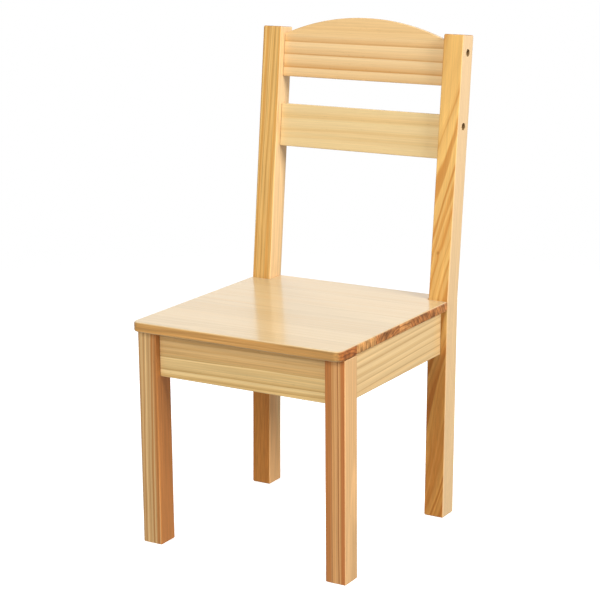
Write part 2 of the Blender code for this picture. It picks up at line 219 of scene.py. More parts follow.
class Graph:
    """A material's node tree, with one way to add a node."""

    def __init__(self, owner: Union[bpy.types.Material, bpy.types.World]) -> None:
        """Start an empty node tree in a material or a world."""
        self.owner = owner
        owner.use_nodes = True
        self.tree = owner.node_tree
        self.tree.nodes.clear()

    @classmethod
    def of_material(cls, name: str) -> "Graph":
        """Start a new material of a name."""
        return cls(bpy.data.materials.new(name))

    def node(self, kind: str, settings: dict, inputs: dict) -> bpy.types.Node:
        """Add a node.

        Args:
            kind: The node's type.
            settings: Its properties, which are set first.
            inputs: Plain values, signals or sockets, by input name or number.

        Returns:
            The node.
        """
        node = self.tree.nodes.new(kind)
        for key, value in settings.items():
            setattr(node, key, value)
        for key, value in inputs.items():
            source = getattr(value, "socket", value)
            if isinstance(source, bpy.types.NodeSocket):
                self.tree.links.new(source, node.inputs[key])
            else:
                node.inputs[key].default_value = value
        return node

    def number(self, kind: str, settings: dict, inputs: dict,
               output: Union[int, str] = 0) -> Signal:
        """Add a node as node() does, and return an output as a number."""
        return Signal(self, self.node(kind, settings, inputs).outputs[output])

    def vector(self, kind: str, settings: dict, inputs: dict,
               output: Union[int, str] = 0) -> VectorSignal:
        """Add a node as node() does, and return an output as a vector or a colour."""
        return VectorSignal(self, self.node(kind, settings, inputs).outputs[output])

    def vector_math(self, operation: str, inputs: dict) -> VectorSignal:
        """Add a Vector Math node and return its vector."""
        return self.vector("ShaderNodeVectorMath", {"operation": operation}, inputs)

    def position(self) -> VectorSignal:
        """Return the place on the piece, in metres."""
        return self.vector("ShaderNodeTexCoord", {}, {}, "Object")

    def facing(self) -> VectorSignal:
        """Return the surface's direction, in the piece's own axes."""
        return self.vector("ShaderNodeTexCoord", {}, {}, "Normal")

    def axes(self, place: VectorSignal) -> tuple[Signal, Signal, Signal]:
        """Return a vector's three numbers."""
        parts = self.node("ShaderNodeSeparateXYZ", {}, {0: place}).outputs
        return Signal(self, parts[0]), Signal(self, parts[1]), Signal(self, parts[2])

    def join(self, x: Number, y: Number, z: Number) -> VectorSignal:
        """Join three numbers into a vector."""
        return self.vector("ShaderNodeCombineXYZ", {}, {0: x, 1: y, 2: z})

    def noise(self, place: VectorSignal, detail: float) -> Signal:
        """Return fractal noise between 0 and 1, where one unit of place is one cell."""
        inputs = {"Vector": place, "Scale": 1.0, "Detail": detail}
        return self.number("ShaderNodeTexNoise", {"noise_dimensions": "3D"}, inputs)

    def line_noise(self, along: Signal) -> Signal:
        """Return smooth noise between 0 and 1 along a number line."""
        inputs = {"W": along, "Scale": 1.0, "Detail": 1.0}
        return self.number("ShaderNodeTexNoise", {"noise_dimensions": "1D"}, inputs)

    def random(self, index: Signal) -> Signal:
        """Return a random number between 0 and 1 for each whole number."""
        return self.number("ShaderNodeTexWhiteNoise", {"noise_dimensions": "1D"}, {"W": index})

    def blend(self, share: Number, first: Place, second: Place) -> VectorSignal:
        """Return a colour between two.

        Args:
            share: How much of the second colour shows, from 0 to 1.
            first: The colour at 0.
            second: The colour at 1.

        Returns:
            The blended colour.
        """
        colours = [c if isinstance(c, VectorSignal) else (*c, 1.0) for c in (first, second)]
        settings = {"data_type": "RGBA", "clamp_factor": True}
        inputs = {0: share, 6: colours[0], 7: colours[1]}
        return self.vector("ShaderNodeMix", settings, inputs, 2)

    def finish(self, sockets: dict) -> bpy.types.Material:
        """Add the Principled shader over some sockets, and return the material."""
        shader = self.node("ShaderNodeBsdfPrincipled", {}, sockets)
        self.node("ShaderNodeOutputMaterial", {}, {"Surface": shader.outputs["BSDF"]})
        return self.owner


# ---------------------------------------------------------------------------------------------
# Finishes
# ---------------------------------------------------------------------------------------------


@dataclass(frozen=True)
class Knot:
    """A small branch that crosses a board, round about a line.

    Attributes:
        centre: A point on the line.
        direction: The way the line runs.
        radius: The branch's radius.
        colour: Its colour.
    """

    centre: Point
    direction: Point
    radius: float = 3.0 * MM
    colour: Colour = (0.34, 0.15, 0.05)

    def distance(self, graph: Graph) -> Signal:
        """Return the distance from the place on the piece to the branch's line."""
        axis = tuple(Vector(self.direction).normalized())
        reach = graph.position() - self.centre
        spine = graph.vector_math("SCALE", {0: axis, "Scale": reach.dot(axis)})
        return (reach - spine).length()


@dataclass(frozen=True)
class Band:
    """A part of a piece where the wood turns to another colour.

    Attributes:
        direction: The way towards that part.
        start: How far from the piece's middle it begins.
        end: How far from the piece's middle it is complete.
        colour: Its colour, or where it tints, what the wood's own colour is multiplied by; on the
            rear posts' lower fronts it is painted shade.
        ragged: How far its edge strays along the grain's streaks.
        share: How strongly it shows.
        tints: Whether the wood's own figure shows through it.
    """

    direction: Point
    start: float
    end: float
    colour: Colour
    ragged: float = 0.0
    share: float = 1.0
    tints: bool = False


@dataclass(frozen=True)
class Log:
    """The log that a piece of wood is cut from, as the shader sees it.

    Attributes:
        place: The place on the piece, measured from the log's pith.
        inside: The same place, measured from the piece's middle.
        light: How much lighter this wood is than its finish.
        warmth: How much warmer it is.
        phase: A shift of its rings.
        glue: How much a glue line covers it.
        soak: How dark its end grain has soaked, from 0 to 1.
    """

    place: VectorSignal
    inside: VectorSignal
    light: Number = 0.0
    warmth: Number = 0.0
    phase: Number = 0.0
    glue: Number = 0.0
    soak: Number = 0.2


@dataclass(frozen=True)
class Cells:
    """The cells of a noise that is stretched along a line.

    Attributes:
        across: A cell's size across the line.
        length: Its size along the line.
        detail: How many finer layers are added.
    """

    across: float
    length: float
    detail: float = 1.0


@dataclass(frozen=True)
class Figure:
    """What the rings and the noise of a piece of pine give at a place; noise is about 0.

    Attributes:
        grown: How much summer wood the ring has there.
        distance: The distance to the pith, with its wander.
        streaks: Long streaks along the fibres.
        fibres: The fibres.
        canals: The resin canals.
        patches: Slow changes over the board.
        blotches: Quicker changes, which show on end grain.
        fine_lines: Fine lines along the rings.
        stripes: Broad stripes along the rings.
    """

    grown: Signal
    distance: Signal
    streaks: Signal
    fibres: Signal
    canals: Signal
    patches: Signal
    blotches: Signal
    fine_lines: Signal
    stripes: Signal


WANDER = Cells(38 * MM, 300 * MM)
RIPPLE = Cells(6 * MM, 60 * MM)
STREAKS = Cells(1.6 * MM, 130 * MM, 3.0)
FIBRES = Cells(0.45 * MM, 22 * MM, 2.0)
CANALS = Cells(0.7 * MM, 7 * MM)
PATCHES = Cells(26 * MM, 420 * MM)
BLOTCHES = Cells(10 * MM, 200 * MM)

# End grain's colours: its spring wood and its summer wood.
PALE_END = ((0.62, 0.31, 0.10), (0.26, 0.08, 0.018))
SOAKED_END = ((0.42, 0.14, 0.035), (0.13, 0.034, 0.010))
GLUE: Colour = (0.22, 0.11, 0.05)


@dataclass(frozen=True)
class PineFinish:
    """Pine under clear lacquer, cut from a log whose pith lies along a line.

    Attributes:
        name: The material's name.
        offset: Where the pith lies from the piece's middle: sideways and up; for upright grain,
            sideways and back.
        grain: The direction of the pith's line.
        ring: The mean width of a year's ring.
        phase: A shift of the rings, in rings.
        early: The colour of the wood grown in spring.
        late: The colour of the wood grown in summer.
        heart: The colour of warmer patches.
        late_share: How strongly the summer wood shows, from 0 to 1.
        sharpness: How late in a ring the summer wood starts; higher is later.
        fall: The share of a ring after which the summer wood fades; higher is more sudden.
        uneven: How much the rings' widths differ, from 0 to 1.
        wobble: How far the rings wander from circles.
        streak: How strongly long streaks show.
        lines: How strongly fine lines along the rings show.
        blush: How strongly the warmer patches show.
        seed: A shift of all noise, so that no two pieces match.
        lacquer: The coat's weight; 0 is raw wood.
        rim: What the colour is multiplied by on upright faces, as painted shade there, if it
            differs.
        bands: Parts of another colour.
        knots: Branches that cross the piece.
    """

    name: str
    offset: Flat
    grain: Point
    ring: float = 4.0 * MM
    phase: float = 0.0
    early: Colour = (0.84, 0.60, 0.32)
    late: Colour = (0.64, 0.33, 0.12)
    heart: Colour = (0.72, 0.41, 0.17)
    late_share: float = 0.7
    sharpness: float = 2.5
    fall: float = 0.965
    uneven: float = 0.5
    wobble: float = 1.5 * MM
    streak: float = 0.25
    lines: float = 0.16
    blush: float = 0.6
    seed: float = 0.0
    lacquer: float = 1.0
    rim: Optional[Colour] = None
    bands: tuple[Band, ...] = ()
    knots: tuple[Knot, ...] = ()

    def build(self, centre: Vector) -> bpy.types.Material:
        """Make the material of a piece with a given middle."""
        graph = Graph.of_material(self.name)
        place = graph.position() - tuple(centre)
        return self.dress(graph, Log(place - tuple(self.pith()), place))

    def pith(self) -> Vector:
        """Return the pith's place from the piece's middle, square to the main grain."""
        sideways, other = self.offset
        main = int(np.argmax(np.abs(self.grain)))
        places = ((0.0, sideways, other), (sideways, 0.0, other), (sideways, other, 0.0))
        return Vector(places[main])

    def straight(self) -> Vector:
        """Return the fibres' direction, which keeps an upright piece's rake but not its slant."""
        x, y, z = self.grain
        return Vector((x if abs(x) > 0.5 else 0.0, y, z)).normalized()

    def figure(self, graph: Graph, log: Log) -> Figure:
        """Work out the rings and the noise.

        The ring coordinate is the distance to the pith plus a slow wander, over the ring's width.
        In each ring the colour deepens as a power of the way through it, and falls back sharply
        at its end. Noise stretched along the grain gives streaks, fibres and resin canals.

        Args:
            graph: The material's graph.
            log: The place measured from the pith, and the wood's own tone.

        Returns:
            The figure.
        """
        axis = tuple(Vector(self.grain).normalized())
        straight = tuple(self.straight())
        shift = (self.seed, self.seed * 0.37, self.seed * 0.71)

        def noise(cells: Cells, line: Point) -> Signal:
            """Return noise about 0, in cells stretched along a line."""
            along = log.place.dot(line)
            aside = log.place - graph.vector_math("SCALE", {0: line, "Scale": along})
            spine = graph.vector_math("SCALE", {0: line, "Scale": along * (1.0 / cells.length)})
            return graph.noise((aside + shift) * (1.0 / cells.across) + spine, cells.detail) - 0.5

        out = log.place - graph.vector_math("SCALE", {0: axis, "Scale": log.place.dot(axis)})
        wander = noise(WANDER, axis) * (4.0 * self.wobble)
        ripple = noise(RIPPLE, axis) * (0.5 * self.wobble)
        distance = out.length() + wander + ripple
        for knot in self.knots:
            distance = distance + knot.distance(graph).bell(knot.radius * 3.0) * (knot.radius * 0.8)
        rings = distance / self.ring + log.phase + self.phase
        rings = rings + (graph.line_noise(rings * 0.45 + self.seed) - 0.5) * (self.uneven * 2.0)
        through = rings.fraction()
        strength = graph.random(rings.floor() + self.seed * 10.0) * 0.4 + 0.7
        deepening = through ** self.sharpness * 0.65 + through.smooth(0.76, 0.96) * 0.45
        grown = deepening * through.smooth(1.0, self.fall) * strength
        in_late = grown * self.late_share * 0.5 + 0.12
        return Figure(
            grown, distance,
            streaks=noise(STREAKS, straight),
            fibres=noise(FIBRES, straight),
            canals=noise(CANALS, straight).smooth(0.18, 0.28) * in_late,
            patches=noise(PATCHES, axis),
            blotches=noise(BLOTCHES, axis),
            fine_lines=graph.line_noise(distance * (1.0 / MM) + self.seed) - 0.5,
            stripes=graph.line_noise(distance * (1.6 / self.ring) + self.seed * 3.0) - 0.5)

    def side_colour(self, graph: Graph, log: Log, figure: Figure) -> VectorSignal:
        """Return the colour of the long sides: rings over warmer patches, then bands and knots.

        Args:
            graph: The material's graph.
            log: The place, and the wood's own tone.
            figure: The rings and the noise there.

        Returns:
            The colour.
        """
        warm = (figure.patches * 0.5 + figure.stripes).smooth(-0.10, 0.22)
        heart_share = (warm * self.blush + log.warmth).clamped()
        colour = graph.blend(heart_share, self.early, self.heart)
        colour = graph.blend((figure.grown * self.late_share).clamped(), colour, self.late)
        for band in self.bands:
            reach = log.inside.dot(band.direction)
            reach = reach + (figure.streaks + figure.stripes) * band.ragged
            inside = reach.smooth(band.start, band.end) * band.share
            tinted = graph.vector_math("MULTIPLY", {0: colour, 1: band.colour})
            colour = graph.blend(inside, colour, tinted if band.tints else band.colour)
        # Upright faces are darkened by the rim colour: painted shade on the board's edges.
        if self.rim:
            upright = abs(graph.axes(graph.facing())[2]).smooth(0.85, 0.35)
            rim = graph.vector_math("MULTIPLY", {0: colour, 1: self.rim})
            colour = graph.blend(upright, colour, rim * (figure.patches + figure.streaks + 1.0))
        for knot in self.knots:
            inside = knot.distance(graph).smooth(knot.radius * 1.6, knot.radius * 0.4)
            colour = graph.blend(inside * 0.8, colour, knot.colour)
        lightness = figure.streaks * self.streak + figure.fine_lines * self.lines
        return colour * (lightness + figure.fibres * 0.16 - figure.canals * 0.5 + log.light + 1.0)

    def end_colour(self, graph: Graph, log: Log, figure: Figure) -> VectorSignal:
        """Return the colour of the end grain, between pale and soaked, with blotches.

        Args:
            graph: The material's graph.
            log: The place, and how far the wood has soaked.
            figure: The rings and the noise there.

        Returns:
            The colour.
        """
        grown = figure.grown.clamped()
        colour = graph.blend(log.soak, graph.blend(grown, *PALE_END),
                             graph.blend(grown, *SOAKED_END))
        return colour * (figure.blotches * 2.2 + figure.streaks * 0.9
                         + figure.fine_lines * 0.5 + 1.0)

    def dress(self, graph: Graph, log: Log) -> bpy.types.Material:
        """Colour, roughen and coat the wood.

        Args:
            graph: The material's graph.
            log: The place measured from the pith, and the wood's own tone.

        Returns:
            The material.
        """
        figure = self.figure(graph, log)
        axis = tuple(Vector(self.grain).normalized())
        end_on = abs(graph.facing().dot(axis)).smooth(0.45, 0.95)
        colour = graph.blend(end_on, self.side_colour(graph, log, figure),
                             self.end_colour(graph, log, figure))
        late = figure.grown * self.late_share
        relief = figure.fibres * 0.5 + late * 0.35 - figure.canals * 1.2
        bump = {"Strength": 0.12, "Distance": 0.15 * MM, "Height": relief}
        roughness = figure.fibres * 0.10 - late * 0.06 + end_on * 0.12
        return graph.finish({
            "Base Color": graph.blend(log.glue, colour, GLUE),
            "Roughness": roughness + (0.42 + 0.2 * (1.0 - self.lacquer)),
            "Normal": graph.vector("ShaderNodeBump", {}, bump, "Normal"),
            "Coat Weight": end_on * (-0.6 * self.lacquer) + self.lacquer,
            "Coat Roughness": 0.16,
            "Coat IOR": 1.48,
            "Specular IOR Level": 0.15,
        })


@dataclass(frozen=True)
class Stave:
    """One of the seat's staves: its width, its own log's pith, and its tone.

    Attributes:
        width: The stave's width.
        offset: Where the pith lies from the stave's middle: back and up.
        light: How much lighter the stave is.
        warmth: How much warmer it is.
        phase: A shift of its rings.
        soak: How dark its end grain has soaked, from 0 to 1.
    """

    width: float
    offset: Flat
    light: float = 0.0
    warmth: float = 0.0
    phase: float = 0.0
    soak: float = 0.6


@dataclass(frozen=True)
class StavedPineFinish(PineFinish):
    """Pine edge-glued from staves that run across the seat.

    Attributes:
        front: Where the first stave starts, along Y.
        glue_width: Half the width of a glue line.
        staves: The staves, from the front.
    """

    front: float = 0.0
    glue_width: float = 0.25 * MM
    staves: tuple[Stave, ...] = ()

    def build(self, centre: Vector) -> bpy.types.Material:
        """Make the material, with a log and a tone for each stave.

        A value that belongs to the staves is the first stave's, plus at each seam behind it the
        step to the next stave's.

        Args:
            centre: The seat's middle.

        Returns:
            The material.
        """
        graph = Graph.of_material(self.name)
        place = graph.position()
        depth = graph.axes(place)[1] - self.front
        widths = np.array([stave.width for stave in self.staves])
        seams = np.cumsum(widths)[:-1].tolist()
        behind = [depth.above(seam) for seam in seams]
        lines = [abs(depth - seam).smooth(self.glue_width, self.glue_width * 0.4) for seam in seams]

        def of_stave(values: Sequence[float]) -> Signal:
            """Return the value of the stave that the place lies in."""
            total = behind[0] * (values[1] - values[0]) + values[0]
            for step, last, value in zip(behind[1:], values[1:], values[2:]):
                total = total + step * (value - last)
            return total

        middles = np.cumsum(widths) - widths / 2 + self.front
        pith = graph.join(
            of_stave([0.37 * number for number in range(len(self.staves))]),
            of_stave([float(y) + stave.offset[0] for y, stave in zip(middles, self.staves)]),
            of_stave([centre.z + stave.offset[1] for stave in self.staves]))
        log = Log(place - pith, place - tuple(centre),
                  light=of_stave([stave.light for stave in self.staves]),
                  warmth=of_stave([stave.warmth for stave in self.staves]),
                  phase=of_stave([stave.phase for stave in self.staves]),
                  soak=of_stave([stave.soak for stave in self.staves]),
                  glue=sum(lines[1:], lines[0]).clamped() * 0.5)
        return self.dress(graph, log)


@dataclass(frozen=True)
class BoredFinish:
    """The rough raw wood inside a drilled hole, darkened as painted shade of the hole's depth."""

    name: str = "bored_pine"
    # Both colours are darker than the lacquered pine: painted shade inside the hole.
    colour: Colour = (0.52, 0.33, 0.14)
    deep_shade: Colour = (0.30, 0.17, 0.065)

    def build(self) -> bpy.types.Material:
        """Make the material."""
        graph = Graph.of_material(self.name)
        rough = graph.noise(graph.position() * 1400.0, 2.0)
        bump = {"Strength": 0.4, "Distance": 0.2 * MM, "Height": rough}
        return graph.finish({
            "Base Color": graph.blend(rough, self.colour, self.deep_shade),
            "Roughness": rough * 0.2 + 0.75,
            "Normal": graph.vector("ShaderNodeBump", {}, bump, "Normal"),
            "Specular IOR Level": 0.2,
        })


@dataclass(frozen=True)
class BirchFinish:
    """Raw pale birch of a dowel, with fine pores along its length."""

    name: str
    grain: Point
    colour: Colour = (0.72, 0.55, 0.36)
    end_grain: Colour = (0.45, 0.30, 0.18)

    def build(self) -> bpy.types.Material:
        """Make the material."""
        graph = Graph.of_material(self.name)
        place = graph.position()
        along = place.dot(self.grain)
        spine = graph.vector_math("SCALE", {0: self.grain, "Scale": along * -0.96})
        fibres = graph.noise((place + spine) * 2600.0, 2.0) - 0.5
        end_on = abs(graph.facing().dot(self.grain)).smooth(0.6, 0.95)
        bump = {"Strength": 0.2, "Distance": 0.1 * MM, "Height": fibres}
        colour = graph.blend(end_on * 0.4, self.colour, self.end_grain)
        return graph.finish({
            "Base Color": colour * (fibres * 0.35 + 1.0),
            "Roughness": fibres * 0.2 + 0.62,
            "Normal": graph.vector("ShaderNodeBump", {}, bump, "Normal"),
        })


@dataclass(frozen=True)
class ZincFinish:
    """Zinc-plated steel of a screw, a little yellowed and scuffed."""

    name: str
    colour: Colour = (0.62, 0.58, 0.48)
    yellowed: Colour = (0.50, 0.40, 0.24)

    def build(self) -> bpy.types.Material:
        """Make the material."""
        graph = Graph.of_material(self.name)
        place = graph.position()
        clouds = graph.noise(place * 500.0, 3.0)
        scuffs = graph.noise(place * 3000.0, 1.0)
        return graph.finish({
            "Base Color": graph.blend(clouds.smooth(0.35, 0.7) * 0.5, self.colour, self.yellowed),
            "Metallic": 0.95,
            "Roughness": scuffs * 0.22 + clouds * 0.12 + 0.22,
        })


# ---------------------------------------------------------------------------------------------
# Surfaces
# ---------------------------------------------------------------------------------------------


@dataclass(frozen=True)
class Corner:
    """A corner of an outline, rounded by an arc of some steps."""

    place: Flat
    radius: float
    steps: int = 6


@dataclass(frozen=True)
class Outline:
    """A closed outline, run anticlockwise, with its outward directions.

    Attributes:
        points: The points, as an (n, 2) array.
        normals: The outward unit vector at each point.
        straights: The points after which the outline runs straight.
    """

    points: np.ndarray
    normals: np.ndarray
    straights: np.ndarray

    @classmethod
    def rounded(cls, corners: Sequence[Corner]) -> "Outline":
        """Round each corner by an arc that touches both of its sides.

        With u and v the unit vectors from a corner to its neighbours and h half the angle between
        them, the arc of radius r is centred r over sin h away, along u + v.

        Args:
            corners: The corners, anticlockwise.

        Returns:
            The outline.
        """
        places = np.array([corner.place for corner in corners])
        to_last = unit(np.roll(places, 1, axis=0) - places)
        to_next = unit(np.roll(places, -1, axis=0) - places)
        points, normals = [], []
        for corner, place, u, v in zip(corners, places, to_last, to_next):
            half = 0.5 * math.acos(float(np.clip(u @ v, -1.0, 1.0)))
            centre = place + unit(u + v) * corner.radius / math.sin(half)
            start = place + u * corner.radius / math.tan(half) - centre
            bulge = 1.0 if u[1] * v[0] - u[0] * v[1] > 0 else -1.0
            sweep = bulge * (math.pi - 2.0 * half)
            angles = math.atan2(start[1], start[0]) + np.linspace(0.0, sweep, corner.steps + 1)
            rays = np.stack([np.cos(angles), np.sin(angles)], axis=1)
            points.append(centre + corner.radius * rays)
            normals.append(bulge * rays)
        ends = np.cumsum([len(block) for block in points]) - 1
        return cls(np.concatenate(points), np.concatenate(normals), ends)

    @classmethod
    def rectangle(cls, low: Flat, high: Flat, radius: float) -> "Outline":
        """Return a rectangle between two corners, with rounded corners."""
        places = (low, (high[0], low[1]), high, (low[0], high[1]))
        return cls.rounded([Corner(place, radius) for place in places])


@dataclass(frozen=True)
class Bench:
    """A flat place to lay an outline on: its origin and its two directions in the world."""

    origin: Point
    u: Point
    v: Point

    def basis(self) -> np.ndarray:
        """Return the directions u, v and u cross v, as rows."""
        return np.array([self.u, self.v, np.cross(self.u, self.v)])

    def place(self, local: np.ndarray) -> np.ndarray:
        """Return world points for (u, v, w) points."""
        return local @ self.basis() + np.array(self.origin)

    def turn(self, local: np.ndarray) -> np.ndarray:
        """Return world directions for (u, v, w) directions."""
        return local @ self.basis()


@dataclass(frozen=True)
class Bore:
    """A stepped round hole.

    Attributes:
        mouth: A point on the hole's axis, at the face that it enters.
        direction: The unit vector into the wood.
        rings: The hole's profile from its mouth, as pairs of depth and radius.
        through: Whether the last ring lies on the face where the hole comes out.
    """

    mouth: Point
    direction: Point
    rings: tuple[Flat, ...]
    through: bool = False


@dataclass
class Facet:
    """A flat face of a shell, whose loop of points runs anticlockwise, and its clockwise holes."""

    loop: np.ndarray
    normal: np.ndarray
    holes: list[np.ndarray] = field(default_factory=list)


def unit(vectors: np.ndarray) -> np.ndarray:
    """Return vectors scaled to length 1."""
    return vectors / np.linalg.norm(vectors, axis=-1, keepdims=True)


def square_to(direction: np.ndarray) -> tuple[np.ndarray, np.ndarray]:
    """Return two directions that are square to a unit vector and to each other."""
    first = unit(np.cross(direction, direction[[1, 2, 0]] + SKEW))
    return first, np.cross(direction, first)


def turn_angles(count: int) -> np.ndarray:
    """Return the angles that part a turn into equal steps, from 0."""
    return np.linspace(0.0, 2.0 * math.pi, count, endpoint=False)


def rays_about(direction: np.ndarray, count: int) -> np.ndarray:
    """Return unit vectors square to a direction, one for each angle t: cos t * a + sin t * b."""
    a, b = square_to(direction)
    turns = turn_angles(count)[:, None]
    return np.cos(turns) * a + np.sin(turns) * b


def quad_corners(grid: np.ndarray) -> np.ndarray:
    """Return a grid's values at each quad's corners; the rows close on themselves."""
    right = np.roll(grid, -1, axis=1)
    return np.stack([grid[:-1], right[:-1], right[1:], grid[1:]], axis=2)


def new_mesh(name: str, points: np.ndarray, faces: list[list[int]],
             material: bpy.types.Material) -> bpy.types.Mesh:
    """Make a smooth mesh of a material from an (n, 3) array of points and the faces' corners."""
    mesh = bpy.data.meshes.new(name)
    mesh.from_pydata(points.tolist(), [], faces)
    mesh.polygons.foreach_set("use_smooth", np.ones(len(faces), dtype=bool))
    mesh.materials.append(material)
    return mesh


def new_object(mesh: bpy.types.Mesh) -> bpy.types.Object:
    """Put a finished mesh in the scene, in an object of its name."""
    mesh.update()
    piece = bpy.data.objects.new(mesh.name, mesh)
    bpy.context.scene.collection.objects.link(piece)
    return piece


class Shell:
    """A closed surface, put together from blocks of points and faces with exact normals."""

    def __init__(self) -> None:
        """Start an empty shell."""
        self.blocks: list[np.ndarray] = []
        self.count = 0
        self.faces: list[list[int]] = []
        self.normals: list[np.ndarray] = []
        self.bored: list[int] = []

    def add_points(self, points: np.ndarray) -> np.ndarray:
        """Add points, and return their numbers in the same shape."""
        flat = points.reshape(-1, 3)
        numbers = np.arange(self.count, self.count + len(flat)).reshape(points.shape[:-1])
        self.blocks.append(flat)
        self.count += len(flat)
        return numbers

    def add_faces(self, loops: np.ndarray, normals: np.ndarray, bored: bool = False) -> None:
        """Add faces.

        Args:
            loops: Point numbers, as a (faces, corners) array.
            normals: The normal at each corner, as a (faces, corners, 3) array.
            bored: Whether they are the raw wood of a hole.
        """
        self.faces.extend(loops.tolist())
        self.bored.extend([int(bored)] * len(loops))
        self.normals.append(np.broadcast_to(normals, (*loops.shape, 3)).reshape(-1, 3))

    def add_strip(self, numbers: np.ndarray, normals: np.ndarray,
                  keep: Optional[np.ndarray] = None, bored: bool = False) -> None:
        """Add the quads between rows of points that close on themselves.

        Args:
            numbers: Point numbers, as a (rows, columns) array.
            normals: The normal at each point, as a (rows, columns, 3) array.
            keep: Which quads to add, as a (rows - 1, columns) array; all of them if None.
            bored: Whether they are the raw wood of a hole.
        """
        loops = quad_corners(numbers).reshape(-1, 4)
        directions = quad_corners(normals).reshape(-1, 4, 3)
        chosen = slice(None) if keep is None else keep.reshape(-1)
        self.add_faces(loops[chosen], directions[chosen], bored)

    def points(self) -> np.ndarray:
        """Return every point, as an (n, 3) array."""
        return np.concatenate(self.blocks)

    def add_facet(self, facet: Facet) -> None:
        """Add a flat face, cut into triangles around its holes where it has any."""
        if not facet.holes:
            self.add_faces(facet.loop[None], facet.normal)
            return
        plane = np.stack(square_to(facet.normal), axis=1) / MM
        points = self.points()
        loops = [facet.loop] + [hole[::-1] for hole in facet.holes]
        numbers = np.concatenate(loops)
        flat = points[numbers] @ plane
        starts = np.cumsum([0] + [len(loop) for loop in loops])
        rings = [list(range(a, b)) for a, b in zip(starts[:-1], starts[1:])]
        found = geometry.delaunay_2d_cdt([Vector(p) for p in flat], [], rings, 1, 1e-6)
        sources = np.array([source[0] for source in found[3]])
        kept = [tri for tri, owners in zip(found[2], found[5]) if owners == [0]]
        self.add_faces(numbers[sources[np.array(kept)]], facet.normal)

    def to_object(self, name: str, material: bpy.types.Material) -> bpy.types.Object:
        """Make the shell an object with a material, and bare wood in its holes."""
        mesh = new_mesh(name, self.points(), self.faces, material)
        mesh.normals_split_custom_set(np.concatenate(self.normals).tolist())
        if any(self.bored):
            mesh.materials.append(bored_wood())
            mesh.polygons.foreach_set("material_index", np.array(self.bored, dtype=np.int32))
        return new_object(mesh)


def bored_wood() -> bpy.types.Material:
    """Return the one material of all holes, and make it if need be."""
    return bpy.data.materials.get(BoredFinish.name) or BoredFinish().build()


def plate(outline: Outline, thickness: float, ease: float, bench: Bench,
          bores: Sequence[Bore] = (), end_ease: Optional[float] = None) -> Shell:
    """Give an outline a thickness, with a quarter round of radius ease on both rims.

    A row at angle a, from -90 to 90 degrees, is the outline drawn in by ease times (1 - cos a),
    at the half thickness less ease times (1 - sin a), below or above the middle.

    Args:
        outline: The outline, on the bench.
        thickness: The thickness along the bench's third direction.
        ease: The radius of the rims.
        bench: Where the outline lies; its origin is at the middle of the thickness.
        bores: Holes in the plate's flat faces.
        end_ease: The radius at the ends that face the bench's first direction, if it differs.

    Returns:
        The closed shell.
    """
    towards_end = outline.normals[:, :1] ** 4
    radii = ease + ((ease if end_ease is None else end_ease) - ease) * towards_end
    lower = np.linspace(-math.pi / 2, 0.0, RIM_STEPS)
    upper = np.linspace(0.0, math.pi / 2, RIM_STEPS)
    angles = np.concatenate([lower, upper])[:, None, None]
    side = np.repeat([-1.0, 1.0], RIM_STEPS)[:, None, None]
    edge = outline.points[None] - outline.normals[None] * radii * (1.0 - np.cos(angles))
    level = side * (thickness / 2 - radii) + radii * np.sin(angles)
    lean = np.broadcast_to(np.sin(angles), (*edge.shape[:2], 1))
    spread = outline.normals[None] * np.cos(angles)
    shell = Shell()
    numbers = shell.add_points(bench.place(np.concatenate([edge, level], axis=2)))
    normals = bench.turn(np.concatenate([spread, lean], axis=2))

    keep = np.ones((2 * RIM_STEPS - 1, len(outline.points)), dtype=bool)
    keep[RIM_STEPS - 1, outline.straights] = False
    shell.add_strip(numbers, normals, keep)
    third = bench.basis()[2]
    facets = [Facet(numbers[0, ::-1], -third), Facet(numbers[-1], third)]
    for here in outline.straights:
        after = (here + 1) % len(outline.points)
        rows = [RIM_STEPS - 1, RIM_STEPS - 1, RIM_STEPS, RIM_STEPS]
        loop = numbers[rows, [here, after, after, here]]
        facets.append(Facet(loop, normals[RIM_STEPS, here]))
    for bore in bores:
        cut_bore(shell, facets, bore)
    for facet in facets:
        shell.add_facet(facet)
    return shell


def find_facet(shell: Shell, facets: Sequence[Facet], place: np.ndarray,
               outward: np.ndarray) -> Facet:
    """Return the flat face that looks a given way and lies nearest to a place."""
    points = shell.points()

    def miss(facet: Facet) -> float:
        """Return how far the place is from a face, or infinity for one that looks elsewhere."""
        if facet.normal @ outward < 0.5:
            return math.inf
        corners = points[facet.loop]
        beyond = np.maximum(corners.min(axis=0) - place, place - corners.max(axis=0))
        return float(np.linalg.norm(np.maximum(beyond, 0.0)))

    return min(facets, key=miss)


